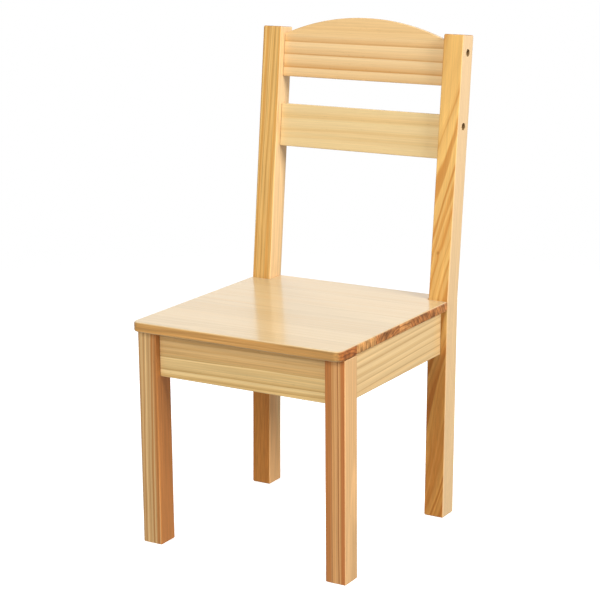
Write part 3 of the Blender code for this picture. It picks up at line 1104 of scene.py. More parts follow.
def cut_bore(shell: Shell, facets: Sequence[Facet], bore: Bore) -> None:
    """Add a bore's walls to a shell, and its mouths to the faces that it opens.

    The ring at depth d and radius r is mouth + d * direction + r * (cos t * a + sin t * b). A ring
    on a face is slid along the direction until it lies in the face.

    Args:
        shell: The shell.
        facets: Its flat faces.
        bore: The hole.
    """
    direction = np.array(bore.direction, dtype=float)
    mouth = np.array(bore.mouth, dtype=float)
    rays = rays_about(direction, BORE_COLUMNS)
    profile = np.array(bore.rings)
    rings = mouth + profile[:, 0, None, None] * direction + profile[:, 1, None, None] * rays
    points = shell.points()
    entry = find_facet(shell, facets, mouth, -direction)
    slide = (points[entry.loop[0]] - rings[0]) @ entry.normal / (direction @ entry.normal)
    rings[0] += slide[:, None] * direction
    leaving = None
    if bore.through:
        leaving = find_facet(shell, facets, rings[-1].mean(axis=0), direction)
        slide = (points[leaving.loop[0]] - rings[-1]) @ leaving.normal
        rings[-1] += (slide / (direction @ leaving.normal))[:, None] * direction
    numbers = shell.add_points(rings)
    for first in range(len(rings) - 1):
        deeper, wider = profile[first + 1] - profile[first]
        walls = unit(direction * wider - rays * deeper)
        pair = numbers[[first + 1, first]]
        shell.add_strip(pair, np.stack([walls, walls]), bored=True)
    entry.holes.append(numbers[0])
    if leaving is None:
        shell.add_faces(numbers[-1, ::-1][None], -direction, bored=True)
    else:
        leaving.holes.append(numbers[-1, ::-1])


def turned(name: str, axis_origin: Point, axis: Point, radii: np.ndarray, levels: np.ndarray,
           material: bpy.types.Material, sharp_degrees: float) -> bpy.types.Object:
    """Make a round piece from radii and levels on a grid.

    The point of row i and column j is origin + level * axis + radius * (cos t * a + sin t * b),
    with t the j-th part of a turn. A fan to its middle closes the first row, and the last.

    Args:
        name: The object's name.
        axis_origin: Where level 0 lies.
        axis: The direction of rising level.
        radii: The radii, as a (rows, columns) array.
        levels: The levels, as a (rows, columns) array.
        material: The piece's material.
        sharp_degrees: Edges bent more than this stay crisp.

    Returns:
        The object.
    """
    up = unit(np.array(axis, dtype=float))
    columns = radii.shape[1]
    spokes = radii[..., None] * rays_about(up, columns)
    points = np.array(axis_origin) + levels[..., None] * up + spokes
    poles = np.stack([points[0].mean(axis=0), points[-1].mean(axis=0)])
    numbers = np.arange(radii.size).reshape(radii.shape)
    right = np.roll(numbers, -1, axis=1)
    low_fan = np.stack([right[0], numbers[0], np.full(columns, radii.size)], axis=1)
    high_fan = np.stack([numbers[-1], right[-1], np.full(columns, radii.size + 1)], axis=1)
    walls = quad_corners(numbers).reshape(-1, 4)
    faces = walls.tolist() + low_fan.tolist() + high_fan.tolist()
    mesh = new_mesh(name, np.concatenate([points.reshape(-1, 3), poles]), faces, material)
    mesh.set_sharp_from_angle(angle=math.radians(sharp_degrees))
    return new_object(mesh)


# ---------------------------------------------------------------------------------------------
# Joints
# ---------------------------------------------------------------------------------------------


def middle(node: str) -> Vector:
    """Return the middle of a frame node's box."""
    low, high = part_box(node)
    return (low + high) / 2


def half_length(node: str, direction: Point) -> float:
    """Return half the length of a frame node's box along an axis."""
    low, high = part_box(node)
    return abs((high - low).dot(Vector(direction))) / 2


def dowel_hole(dowel: str, direction: Point) -> Bore:
    """Return the half of a dowel's hole that lies in one piece, with a small lead-in.

    Args:
        dowel: The frame's dowel.
        direction: The way into the piece.

    Returns:
        The blind hole.
    """
    radius = 3.3 * MM
    depth = half_length(dowel, direction) + GAP
    rings = ((0.0, radius + 0.25 * MM), (2 * GAP, radius), (depth, radius))
    return Bore(tuple(middle(dowel)), direction, rings)


def joint_holes(dowels: str, direction: Point) -> list[Bore]:
    """Return one piece's halves of the dowel holes of a joint, lower and upper."""
    return [dowel_hole(f"{dowels}_{level}", direction) for level in LEVELS]


def pilot_hole(screw: str, direction: Point, radius: float) -> Bore:
    """Return the blind hole that a screw's threads bite into.

    Args:
        screw: The frame's screw.
        direction: The way that it is driven.
        radius: The hole's radius.

    Returns:
        The blind hole.
    """
    rings = ((0.0, radius), (half_length(screw, direction) + GAP, radius))
    return Bore(tuple(middle(screw)), direction, rings)


def screw_passage(screw: str, direction: Point, head: float, wide: float, narrow: float) -> Bore:
    """Return the stepped hole that a screw's head is sunk in and its shank passes through.

    Args:
        screw: The frame's screw.
        direction: The way that it is driven.
        head: The height of its head.
        wide: The radius of the counterbore.
        narrow: The radius of the clearance hole.

    Returns:
        The through hole.
    """
    half = half_length(screw, direction)
    seat = head + GAP - half
    rings = ((seat - 4 * MM, wide), (seat, wide), (seat, narrow), (half, narrow))
    return Bore(tuple(middle(screw)), direction, rings, through=True)


def show(piece: bpy.types.Object, node: str) -> None:
    """Let a finished piece stand for a node of the frame."""
    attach(piece, BODY)
    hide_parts(node)
    LOG.info("%s: %d faces, stands for %s", piece.name, len(piece.data.polygons), node)


def show_wood(shell: Shell, node: str, finish: PineFinish) -> None:
    """Let a shell in its finish stand for a node of the frame."""
    show(shell.to_object(f"{node}_wood", finish.build(middle(node))), node)


# ---------------------------------------------------------------------------------------------
# The chair
# ---------------------------------------------------------------------------------------------

@dataclass
class Seat:
    """The seat board: edge-glued staves, rounded front corners, notched around the posts.

    Attributes:
        corner_radius: The radius of the front corners.
        rear_radius: The radius of the rear corners.
        notch_radius: The radius inside the notches.
        ease: The radius of the upper and lower edges.
        pilot_radius: The radius of the screws' holes.
        early: The colour of the spring wood.
        late: The colour of the summer wood.
        heart: The colour of warmer patches.
        rim: What the colour is multiplied by on the board's edge, as painted shade.
        staves: The staves, from the front.
    """

    corner_radius: float = 10 * MM
    rear_radius: float = 2.6 * MM
    notch_radius: float = 0.6 * MM
    ease: float = 2.2 * MM
    pilot_radius: float = 2.2 * MM
    early: Colour = (0.765, 0.58, 0.32)
    late: Colour = (0.68, 0.45, 0.21)
    heart: Colour = (0.75, 0.52, 0.26)
    # The rim colour darkens the seat's edges as painted shade.
    rim: Colour = (0.71, 0.51, 0.29)
    staves: tuple[Stave, ...] = (
        Stave(38.5 * MM, (-10 * MM, -90 * MM), light=-0.03, warmth=0.10, phase=0.3, soak=1.0),
        Stave(44.5 * MM, (-110 * MM, -10 * MM), light=0.02, warmth=0.00, phase=0.7, soak=0.0),
        Stave(57.0 * MM, (34 * MM, -30 * MM), light=-0.03, warmth=0.10, phase=0.1, soak=0.7),
        Stave(29.0 * MM, (12 * MM, -90 * MM), light=0.015, warmth=0.04, phase=0.5, soak=0.45),
        Stave(63.0 * MM, (-66 * MM, -52 * MM), light=0.03, warmth=0.00, phase=0.8, soak=0.8),
        Stave(61.0 * MM, (-68 * MM, -48 * MM), light=0.01, warmth=0.04, phase=0.2, soak=0.65),
    )

    def build(self) -> None:
        """Make and dress the seat board."""
        low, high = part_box("seat_board")
        notch_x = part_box("rear_post_right")[0].x - GAP
        notch_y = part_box("side_apron_right")[1].y
        right = [
            Corner((low.x, low.y), self.corner_radius, 12),
            Corner((high.x, low.y), self.corner_radius, 12),
            Corner((high.x, notch_y), self.rear_radius),
            Corner((notch_x, notch_y), self.notch_radius),
            Corner((notch_x, high.y), self.rear_radius),
        ]
        left = [Corner((-c.place[0], c.place[1]), c.radius) for c in right[:1:-1]]
        bench = Bench((0.0, 0.0, (low.z + high.z) / 2), Grain.ACROSS.value, Grain.DEEP.value)
        outline = Outline.rounded(right + left)
        shell = plate(outline, high.z - low.z, self.ease, bench, self.pilots())
        finish = StavedPineFinish("seat_pine_lacquered", (0.0, 0.0), (1.0, 0.010, 0.004),
                                  ring=5 * MM, early=self.early, late=self.late,
                                  heart=self.heart, late_share=0.5, wobble=2.5 * MM, seed=3.1,
                                  front=low.y, staves=self.staves, rim=self.rim)
        show_wood(shell, "seat_board", finish)

    def pilots(self) -> list[Bore]:
        """Return the holes of the screws that come up through the corner blocks."""
        up = Grain.UPRIGHT.value
        screws = [f"seat_screw_{end}_{side}" for end, _ in ENDS for side, _ in SIDES]
        return [pilot_hole(screw, up, self.pilot_radius) for screw in screws]


@dataclass
class FrontLegs:
    """The two square front legs, with softly rounded edges.

    Attributes:
        edge_radius: The radius of the long edges.
        ease: The radius of the edges at the top and the foot.
        finishes: Each leg's finish.
    """

    edge_radius: float = 1.8 * MM
    ease: float = 1.2 * MM
    finishes: dict[str, PineFinish] = field(default_factory=lambda: {
        "left": PineFinish("front_leg_left_pine", (-0.300, 0.010), (0.014, 0.0, 1.0),
                           ring=7.6 * MM, early=(0.75, 0.49, 0.215), late=(0.30, 0.12, 0.030),
                           heart=(0.49, 0.22, 0.064), late_share=0.95, sharpness=1.1, fall=0.7,
                           uneven=0.8, blush=0.9, streak=0.6, lines=0.25, wobble=2.6 * MM,
                           seed=1.3, phase=0.72,
                           bands=(Band((1.0, 0.0, 0.0), 6.0 * MM, 7.5 * MM, (0.50, 0.17, 0.035),
                                       ragged=5.0 * MM, share=0.45),
                                  Band((1.0, 0.0, 0.0), 12.0 * MM, 12.9 * MM,
                                       (0.62, 0.24, 0.062)))),
        "right": PineFinish("front_leg_right_pine", (-0.300, 0.010), (-0.004, 0.0, 1.0),
                            ring=8.7 * MM, early=(0.78, 0.42, 0.16), late=(0.26, 0.07, 0.015),
                            heart=(0.50, 0.19, 0.042), late_share=0.95, sharpness=1.3, fall=0.9,
                            uneven=0.3, streak=0.6, lines=0.7, wobble=1.1 * MM, seed=2.6,
                            phase=0.81,
                            bands=(Band((-1.0, 0.0, 0.0), 4.0 * MM, 6.0 * MM,
                                        (0.44, 0.14, 0.028), ragged=3.0 * MM, share=0.7),
                                   Band((1.0, 0.0, 0.0), 7.5 * MM, 8.8 * MM,
                                        (0.48, 0.14, 0.028), ragged=2.0 * MM, share=0.7),
                                   Band((1.0, 0.0, 0.0), 12.0 * MM, 12.9 * MM,
                                        (0.78, 0.46, 0.20)))),
    })

    def build(self) -> None:
        """Make and dress both legs."""
        for side, sign in SIDES:
            node = f"front_leg_{side}"
            low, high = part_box(node)
            outline = Outline.rectangle((low.x, low.y), (high.x, high.y), self.edge_radius)
            bench = Bench((0.0, 0.0, (low.z + high.z) / 2), Grain.ACROSS.value, Grain.DEEP.value)
            shell = plate(outline, high.z - low.z, self.ease, bench, self.holes(side, sign))
            show_wood(shell, node, self.finishes[side])

    def holes(self, side: str, sign: float) -> list[Bore]:
        """Return the holes for the dowels of both aprons."""
        return (joint_holes(f"front_apron_dowel_{side}", (sign, 0.0, 0.0))
                + joint_holes(f"side_apron_dowel_{side}_front", (0.0, -1.0, 0.0)))


@dataclass
class RearPosts:
    """The rear posts, one piece each from the floor to the top of the back.

    Attributes:
        depth: A post's size along Y.
        lower_slope: The run per rise below the seat.
        upper_slope: The run per rise above the seat.
        bend_radius: The radius of the bend at the seat's top.
        edge_radius: The radius of the corners at the top and the foot.
        ease: The radius of the long edges.
        counterbore: The radius of a slat screw's counterbore.
        clearance: The radius of its clearance hole.
        head: The height of its head.
        finishes: Each post's finish.
    """

    depth: float = 28.5 * MM
    lower_slope: float = 0.025
    upper_slope: float = 0.110
    bend_radius: float = 80 * MM
    edge_radius: float = 2.0 * MM
    ease: float = 1.8 * MM
    counterbore: float = 4.5 * MM
    clearance: float = 2.4 * MM
    head: float = 2.8 * MM
    finishes: dict[str, PineFinish] = field(default_factory=lambda: {
        "left": PineFinish("rear_post_left_pine", (-0.300, 0.020), (0.010, 0.09, 1.0),
                           ring=7.0 * MM, early=(0.81, 0.51, 0.17), late=(0.42, 0.165, 0.025),
                           heart=(0.66, 0.31, 0.065), late_share=0.8, sharpness=1.3, fall=0.85,
                           seed=4.4, uneven=0.7, blush=0.8, streak=0.75, lines=0.5,
                           wobble=2.2 * MM, phase=0.35,
                           # Painted shade: the lower front under the seat, darkened.
                           bands=(Band((0.0, -1.0, -0.12), 34.0 * MM, 46.0 * MM,
                                       (0.54, 0.36, 0.17), tints=True),
                                  Band((1.0, 0.0, 0.0), 12.0 * MM, 12.9 * MM,
                                       (0.90, 0.60, 0.29)),
                                  # Painted shade: the lower front under the seat, darkened and
                                  # reddened.
                                  Band((0.0, -1.0, -0.12), 28.0 * MM, 46.0 * MM,
                                       (0.62, 0.24, 0.05), share=0.5))),
        "right": PineFinish("rear_post_right_pine", (-0.110, 0.050), (0.28, 0.11, 1.0),
                            ring=9.5 * MM, early=(0.86, 0.52, 0.16), late=(0.36, 0.10, 0.012),
                            heart=(0.62, 0.25, 0.045), late_share=0.8, sharpness=1.2, fall=0.4,
                            seed=5.9, uneven=0.9, blush=0.8, wobble=10.0 * MM, streak=0.4,
                            lines=0.1,
                            # Painted shade: the lower front under the seat, darkened.
                            bands=(Band((0.0, -1.0, -0.12), 30.0 * MM, 46.0 * MM,
                                        (0.80, 0.62, 0.42), tints=True),
                                   Band((1.0, 0.0, 0.0), 12.0 * MM, 12.9 * MM,
                                        (0.855, 0.59, 0.31), share=0.93)),
                            knots=(Knot((124.1 * MM, 108.1 * MM, 336.6 * MM), (0.25, 1.0, 0.3),
                                        1.8 * MM, (0.46, 0.19, 0.04)),)),
    })

    def build(self) -> None:
        """Make and dress both posts."""
        for side, sign in SIDES:
            node = f"rear_post_{side}"
            low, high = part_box(node)
            bench = Bench(((low.x + high.x) / 2, 0.0, 0.0), Grain.DEEP.value, Grain.UPRIGHT.value)
            shell = plate(self.outline(low.y, high.z), high.x - low.x, self.ease, bench,
                          self.holes(side, sign))
            show_wood(shell, node, self.finishes[side])

    def outline(self, foot: float, top: float) -> Outline:
        """Return a post's side view.

        The front runs up at the lower slope to the seat's top and at the upper slope from there.
        The back is the front moved by the depth, and the top is cut square to the upper part.

        Args:
            foot: Where the front of the foot lies, along Y.
            top: The height of the front of the top.

        Returns:
            The outline, as (y, z).
        """
        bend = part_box("seat_board")[1].z
        bend_front = foot + bend * self.lower_slope
        top_front = bend_front + (top - bend) * self.upper_slope
        rake = math.atan(self.upper_slope)
        across = self.depth * math.cos(rake)
        back = (top_front + across * math.cos(rake), top - across * math.sin(rake))
        return Outline.rounded([
            Corner((foot, 0.0), self.edge_radius),
            Corner((foot + self.depth, 0.0), self.edge_radius),
            Corner((bend_front + self.depth, bend), self.bend_radius),
            Corner(back, self.edge_radius),
            Corner((top_front, top), self.edge_radius),
            Corner((bend_front, bend), self.bend_radius),
        ])

    def holes(self, side: str, sign: float) -> list[Bore]:
        """Return the holes for the dowels of the aprons and slats, and for the slats' screws."""
        bores = (joint_holes(f"rear_apron_dowel_{side}", (sign, 0.0, 0.0))
                 + joint_holes(f"side_apron_dowel_{side}_rear", (0.0, 1.0, 0.0)))
        for slat in SLATS:
            bores.append(dowel_hole(f"{slat}_slat_dowel_{side}", (sign, 0.0, 0.0)))
            bores.append(screw_passage(f"{slat}_slat_screw_{side}", (-sign, 0.0, 0.0), self.head,
                                       self.counterbore, self.clearance))
        return bores


@dataclass
class Aprons:
    """The four aprons under the seat.

    Attributes:
        edge_radius: The radius of the corners.
        ease: The radius of the long edges.
        slant: The run per rise of a side apron's rear end.
        pilot_radius: The radius of the screws' holes.
        finishes: Each apron's finish.
    """

    edge_radius: float = 0.5 * MM
    ease: float = 1.2 * MM
    slant: float = 0.025
    pilot_radius: float = 2.2 * MM
    finishes: dict[str, PineFinish] = field(default_factory=lambda: {
        "front": PineFinish("front_apron_pine", (0.010, 0.14), (1.0, 0.0, 0.012), ring=11.0 * MM,
                            early=(0.82, 0.59, 0.27), late=(0.52, 0.30, 0.09),
                            heart=(0.69, 0.43, 0.15), late_share=0.95, sharpness=1.4, seed=6.2,
                            fall=0.88, uneven=0.6, wobble=1.8 * MM, streak=0.65,
                            bands=(Band((0.0, 0.0, 1.0), -1.0 * MM, 3.0 * MM, (0.62, 0.36, 0.135),
                                        ragged=6.0 * MM, share=0.6),)),
        "rear": PineFinish("rear_apron_pine", (0.030, 0.060), Grain.ACROSS.value, ring=4.5 * MM,
                           seed=7.5),
        "left": PineFinish("side_apron_left_pine", (-0.060, 0.040), Grain.DEEP.value,
                           ring=5.0 * MM, seed=8.1),
        "right": PineFinish("side_apron_right_pine", (-0.010, 0.16), (0.0, 1.0, 0.03),
                            ring=9.0 * MM, early=(0.86, 0.61, 0.30), late=(0.52, 0.28, 0.09),
                            heart=(0.75, 0.47, 0.19), late_share=1.0, seed=9.7, fall=0.85,
                            wobble=1.0 * MM, streak=0.35),
    })

    def build(self) -> None:
        """Make and dress the four aprons."""
        for end, sign in ENDS:
            self.build_cross(end, sign)
        for side, sign in SIDES:
            self.build_side(side, sign)

    def build_cross(self, end: str, sign: float) -> None:
        """Make and dress the front or the rear apron."""
        node = f"{end}_apron"
        low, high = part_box(node)
        outline = Outline.rectangle((low.x, low.z), (high.x, high.z), self.edge_radius)
        bench = Bench((0.0, (low.y + high.y) / 2, 0.0), Grain.ACROSS.value, Grain.UPRIGHT.value)
        bores = []
        for side, way in SIDES:
            bores += joint_holes(f"{end}_apron_dowel_{side}", (-way, 0.0, 0.0))
            bores.append(pilot_hole(f"block_screw_{end}_{side}_cross", (0.0, sign, 0.0),
                                    self.pilot_radius))
        shell = plate(outline, high.y - low.y, self.ease, bench, bores, CRISP)
        show_wood(shell, node, self.finishes[end])

    def build_side(self, side: str, sign: float) -> None:
        """Make and dress a side apron, whose rear end follows the slope of its post."""
        node = f"side_apron_{side}"
        low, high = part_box(node)
        lower_back = high.y - (high.z - low.z) * self.slant
        places = ((low.y, low.z), (lower_back, low.z), (high.y, high.z), (low.y, high.z))
        outline = Outline.rounded([Corner(place, self.edge_radius) for place in places])
        bench = Bench(((low.x + high.x) / 2, 0.0, 0.0), Grain.DEEP.value, Grain.UPRIGHT.value)
        bores = []
        for end, way in ENDS:
            bores += joint_holes(f"side_apron_dowel_{side}_{end}", (0.0, -way, 0.0))
            bores.append(pilot_hole(f"block_screw_{end}_{side}_side", (sign, 0.0, 0.0),
                                    self.pilot_radius))
        shell = plate(outline, high.x - low.x, self.ease, bench, bores, CRISP)
        show_wood(shell, node, self.finishes[side])


@dataclass
class BackSlats:
    """The straight lower slat and the arched top slat, square to the raked posts.

    Attributes:
        rake: The run per rise of the back.
        thickness: A slat's thickness.
        edge_radius: The radius of the corners.
        ease: The radius of the long edges.
        arch_rise: How far the top slat's arch rises over its ends.
        pilot_radius: The radius of the screws' holes.
        finishes: Each slat's finish.
    """

    rake: float = 0.110
    thickness: float = 10 * MM
    edge_radius: float = 0.5 * MM
    ease: float = 1.3 * MM
    arch_rise: float = 23 * MM
    pilot_radius: float = 2.4 * MM
    finishes: dict[str, PineFinish] = field(default_factory=lambda: {
        "lower": PineFinish("lower_slat_pine", (0.020, 0.16), (1.0, 0.0, 0.01), ring=15.0 * MM,
                            early=(0.80, 0.60, 0.30), late=(0.66, 0.40, 0.14),
                            heart=(0.77, 0.53, 0.24), late_share=0.9, sharpness=1.5, seed=11.9,
                            fall=0.75, uneven=0.7, wobble=2.4 * MM),
        "top": PineFinish("top_slat_pine", (0.0, 0.26), Grain.ACROSS.value, ring=16.6 * MM,
                          early=(0.84, 0.60, 0.31), late=(0.58, 0.28, 0.075),
                          heart=(0.80, 0.50, 0.21), late_share=1.0, sharpness=1.2, uneven=0.06,
                          fall=0.93, wobble=0.9 * MM, seed=12.4, phase=0.67,
                          bands=(Band((0.0, 0.0, 1.0), 12.0 * MM, 17.0 * MM,
                                      (0.80, 0.53, 0.24), ragged=3.0 * MM, share=0.85),)),
    })

    def build(self) -> None:
        """Make and dress both slats."""
        for slat in SLATS:
            node = f"{slat}_slat"
            low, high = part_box(node)
            turn = math.atan(self.rake)
            sine, cosine = math.sin(turn), math.cos(turn)
            half = self.thickness / 2
            foot = (0.0, low.y + half * cosine, low.z + half * sine)
            tall = (high.z - low.z - self.thickness * sine) / cosine
            bench = Bench(foot, Grain.ACROSS.value, (0.0, sine, cosine))
            rise = self.arch_rise / cosine if slat == "top" else 0.0
            outline = self.outline(high.x, tall, rise)
            shell = plate(outline, self.thickness, self.ease, bench, self.holes(slat), CRISP)
            show_wood(shell, node, self.finishes[slat])

    def outline(self, half: float, tall: float, rise: float) -> Outline:
        """Return a slat's front view, from its lower edge up.

        An arch that rises by s over half a width w is a circle of radius (w squared + s squared)
        over 2 s. It is drawn as one corner, where the circle's end tangents meet.

        Args:
            half: Half the slat's length.
            tall: Its height in the middle.
            rise: How much lower its ends are.

        Returns:
            The outline.
        """
        ends = tall - rise
        corners = [Corner((-half, 0.0), self.edge_radius), Corner((half, 0.0), self.edge_radius),
                   Corner((half, ends), self.edge_radius), Corner((-half, ends), self.edge_radius)]
        if rise > 0.0:
            radius = (half ** 2 + rise ** 2) / (2.0 * rise)
            spread = math.asin(half / radius)
            peak = tall - radius + radius / math.cos(spread)
            shoulder = self.edge_radius * math.tan(0.25 * math.pi - spread / 2) / (
                radius * math.tan(spread))
            corners.insert(3, Corner((0.0, peak), radius * (1.0 - shoulder * 1.02), 64))
        return Outline.rounded(corners)

    def holes(self, slat: str) -> list[Bore]:
        """Return the holes for a slat's dowels and screws."""
        bores = []
        for side, sign in SIDES:
            bores.append(dowel_hole(f"{slat}_slat_dowel_{side}", (-sign, 0.0, 0.0)))
            bores.append(pilot_hole(f"{slat}_slat_screw_{side}", (-sign, 0.0, 0.0),
                                    self.pilot_radius))
        return bores


@dataclass
class CornerBlocks:
    """The raw corner blocks that tie the aprons together and hold the seat down.

    Attributes:
        clip: How far the inner corner is cut off, along both aprons.
        edge_radius: The radius of the corners in plan.
        ease: The radius of the upper and lower edges.
        counterbores: The radii of the counterbores, for the aprons' and the seat's screws.
        clearance: The radius of the clearance holes.
        head: The height of the screws' heads.
    """

    clip: float = 18 * MM
    edge_radius: float = 0.9 * MM
    ease: float = 0.7 * MM
    counterbores: Flat = (4.2 * MM, 4.3 * MM)
    clearance: float = 2.2 * MM
    head: float = 2.6 * MM

    def build(self) -> None:
        """Make and dress the four blocks."""
        for number, (end, way) in enumerate(ENDS):
            for side, sign in SIDES:
                node = f"corner_block_{end}_{side}"
                low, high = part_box(node)
                bench = Bench((0.0, 0.0, (low.z + high.z) / 2), Grain.ACROSS.value,
                              Grain.DEEP.value)
                outer = (high.x if sign > 0 else low.x, high.y if way > 0 else low.y)
                inner = (low.x if sign > 0 else high.x, low.y if way > 0 else high.y)
                cut = self.clip - GAP
                places = [(outer[0], inner[1]), (outer[0], outer[1] - way * cut),
                          (outer[0] - sign * cut, outer[1]), (inner[0], outer[1])]
                if sign * way < 0:
                    places.reverse()
                outline = Outline.rounded([Corner(place, self.edge_radius) for place in places])
                shell = plate(outline, high.z - low.z, self.ease, bench,
                              self.holes(end, side, way, sign))
                finish = PineFinish(f"{node}_pine", (sign * 0.03, way * 0.05),
                                    (sign * 1.0, -way * 1.0, 0.0), ring=3.6 * MM,
                                    early=(0.74, 0.56, 0.35), late=(0.58, 0.37, 0.19),
                                    seed=14.0 + number * 3.0 + sign, lacquer=0.0)
                show_wood(shell, node, finish)

    def holes(self, end: str, side: str, way: float, sign: float) -> list[Bore]:
        """Return the holes for a block's three screws."""
        to_side, to_cross, up = (sign, 0.0, 0.0), (0.0, way, 0.0), (0.0, 0.0, 1.0)
        wide, wide_up = self.counterbores
        return [
            screw_passage(f"block_screw_{end}_{side}_side", to_side, self.head, wide,
                          self.clearance),
            screw_passage(f"block_screw_{end}_{side}_cross", to_cross, self.head, wide,
                          self.clearance),
            screw_passage(f"seat_screw_{end}_{side}", up, self.head, wide_up, self.clearance),
        ]


@dataclass
class Dowels:
    """The fluted, chamfered dowels of every joint.

    Attributes:
        radius: A dowel's radius.
        chamfer: How much the ends are drawn in, and how far along.
        flutes: How many glue grooves run along it.
        flute_depth: The depth of a groove.
        crease: Edges bent more than this stay crisp, in degrees.
        columns: How many points go round.
    """

    radius: float = 3.0 * MM
    chamfer: Flat = (0.6 * MM, 0.9 * MM)
    flutes: int = 16
    flute_depth: float = 0.18 * MM
    crease: float = 50.0
    columns: int = 96

    def build(self) -> None:
        """Make and dress all dowels."""
        across = BirchFinish("dowel_birch_across", Grain.ACROSS.value).build()
        deep = BirchFinish("dowel_birch_deep", Grain.DEEP.value).build()
        for side, _ in SIDES:
            for level in LEVELS:
                for end, _ in ENDS:
                    self.make(f"{end}_apron_dowel_{side}_{level}", Grain.ACROSS, across)
                    self.make(f"side_apron_dowel_{side}_{end}_{level}", Grain.DEEP, deep)
            for slat in SLATS:
                self.make(f"{slat}_slat_dowel_{side}", Grain.ACROSS, across)

    def make(self, node: str, grain: Grain, material: bpy.types.Material) -> None:
        """Make one dowel.

        The radius at angle t is the dowel's, less the groove's depth times the fourth power of
        the cosine of half the flutes' count times t. The ends are drawn in by the chamfer.

        Args:
            node: The frame's dowel.
            grain: The way it lies.
            material: Its wood.
        """
        length = 2 * half_length(node, grain.value)
        inset, run = self.chamfer
        steps = run * np.array([0.0, 0.5, 1.0, 2.0])
        levels = np.concatenate([steps, length - steps[::-1]])
        chamfer = inset * np.array([1.0, 0.38, 0.0, 0.0])
        drawn_in = np.concatenate([chamfer, chamfer[::-1]])
        grooves = self.flute_depth * np.cos(self.flutes / 2 * turn_angles(self.columns)) ** 4
        radii = self.radius - drawn_in[:, None] - grooves[None]
        origin = middle(node) - Vector(grain.value) * (length / 2)
        piece = turned(f"{node}_birch", tuple(origin), grain.value, radii,
                       np.broadcast_to(levels[:, None], radii.shape), material,
                       self.crease)
        show(piece, node)


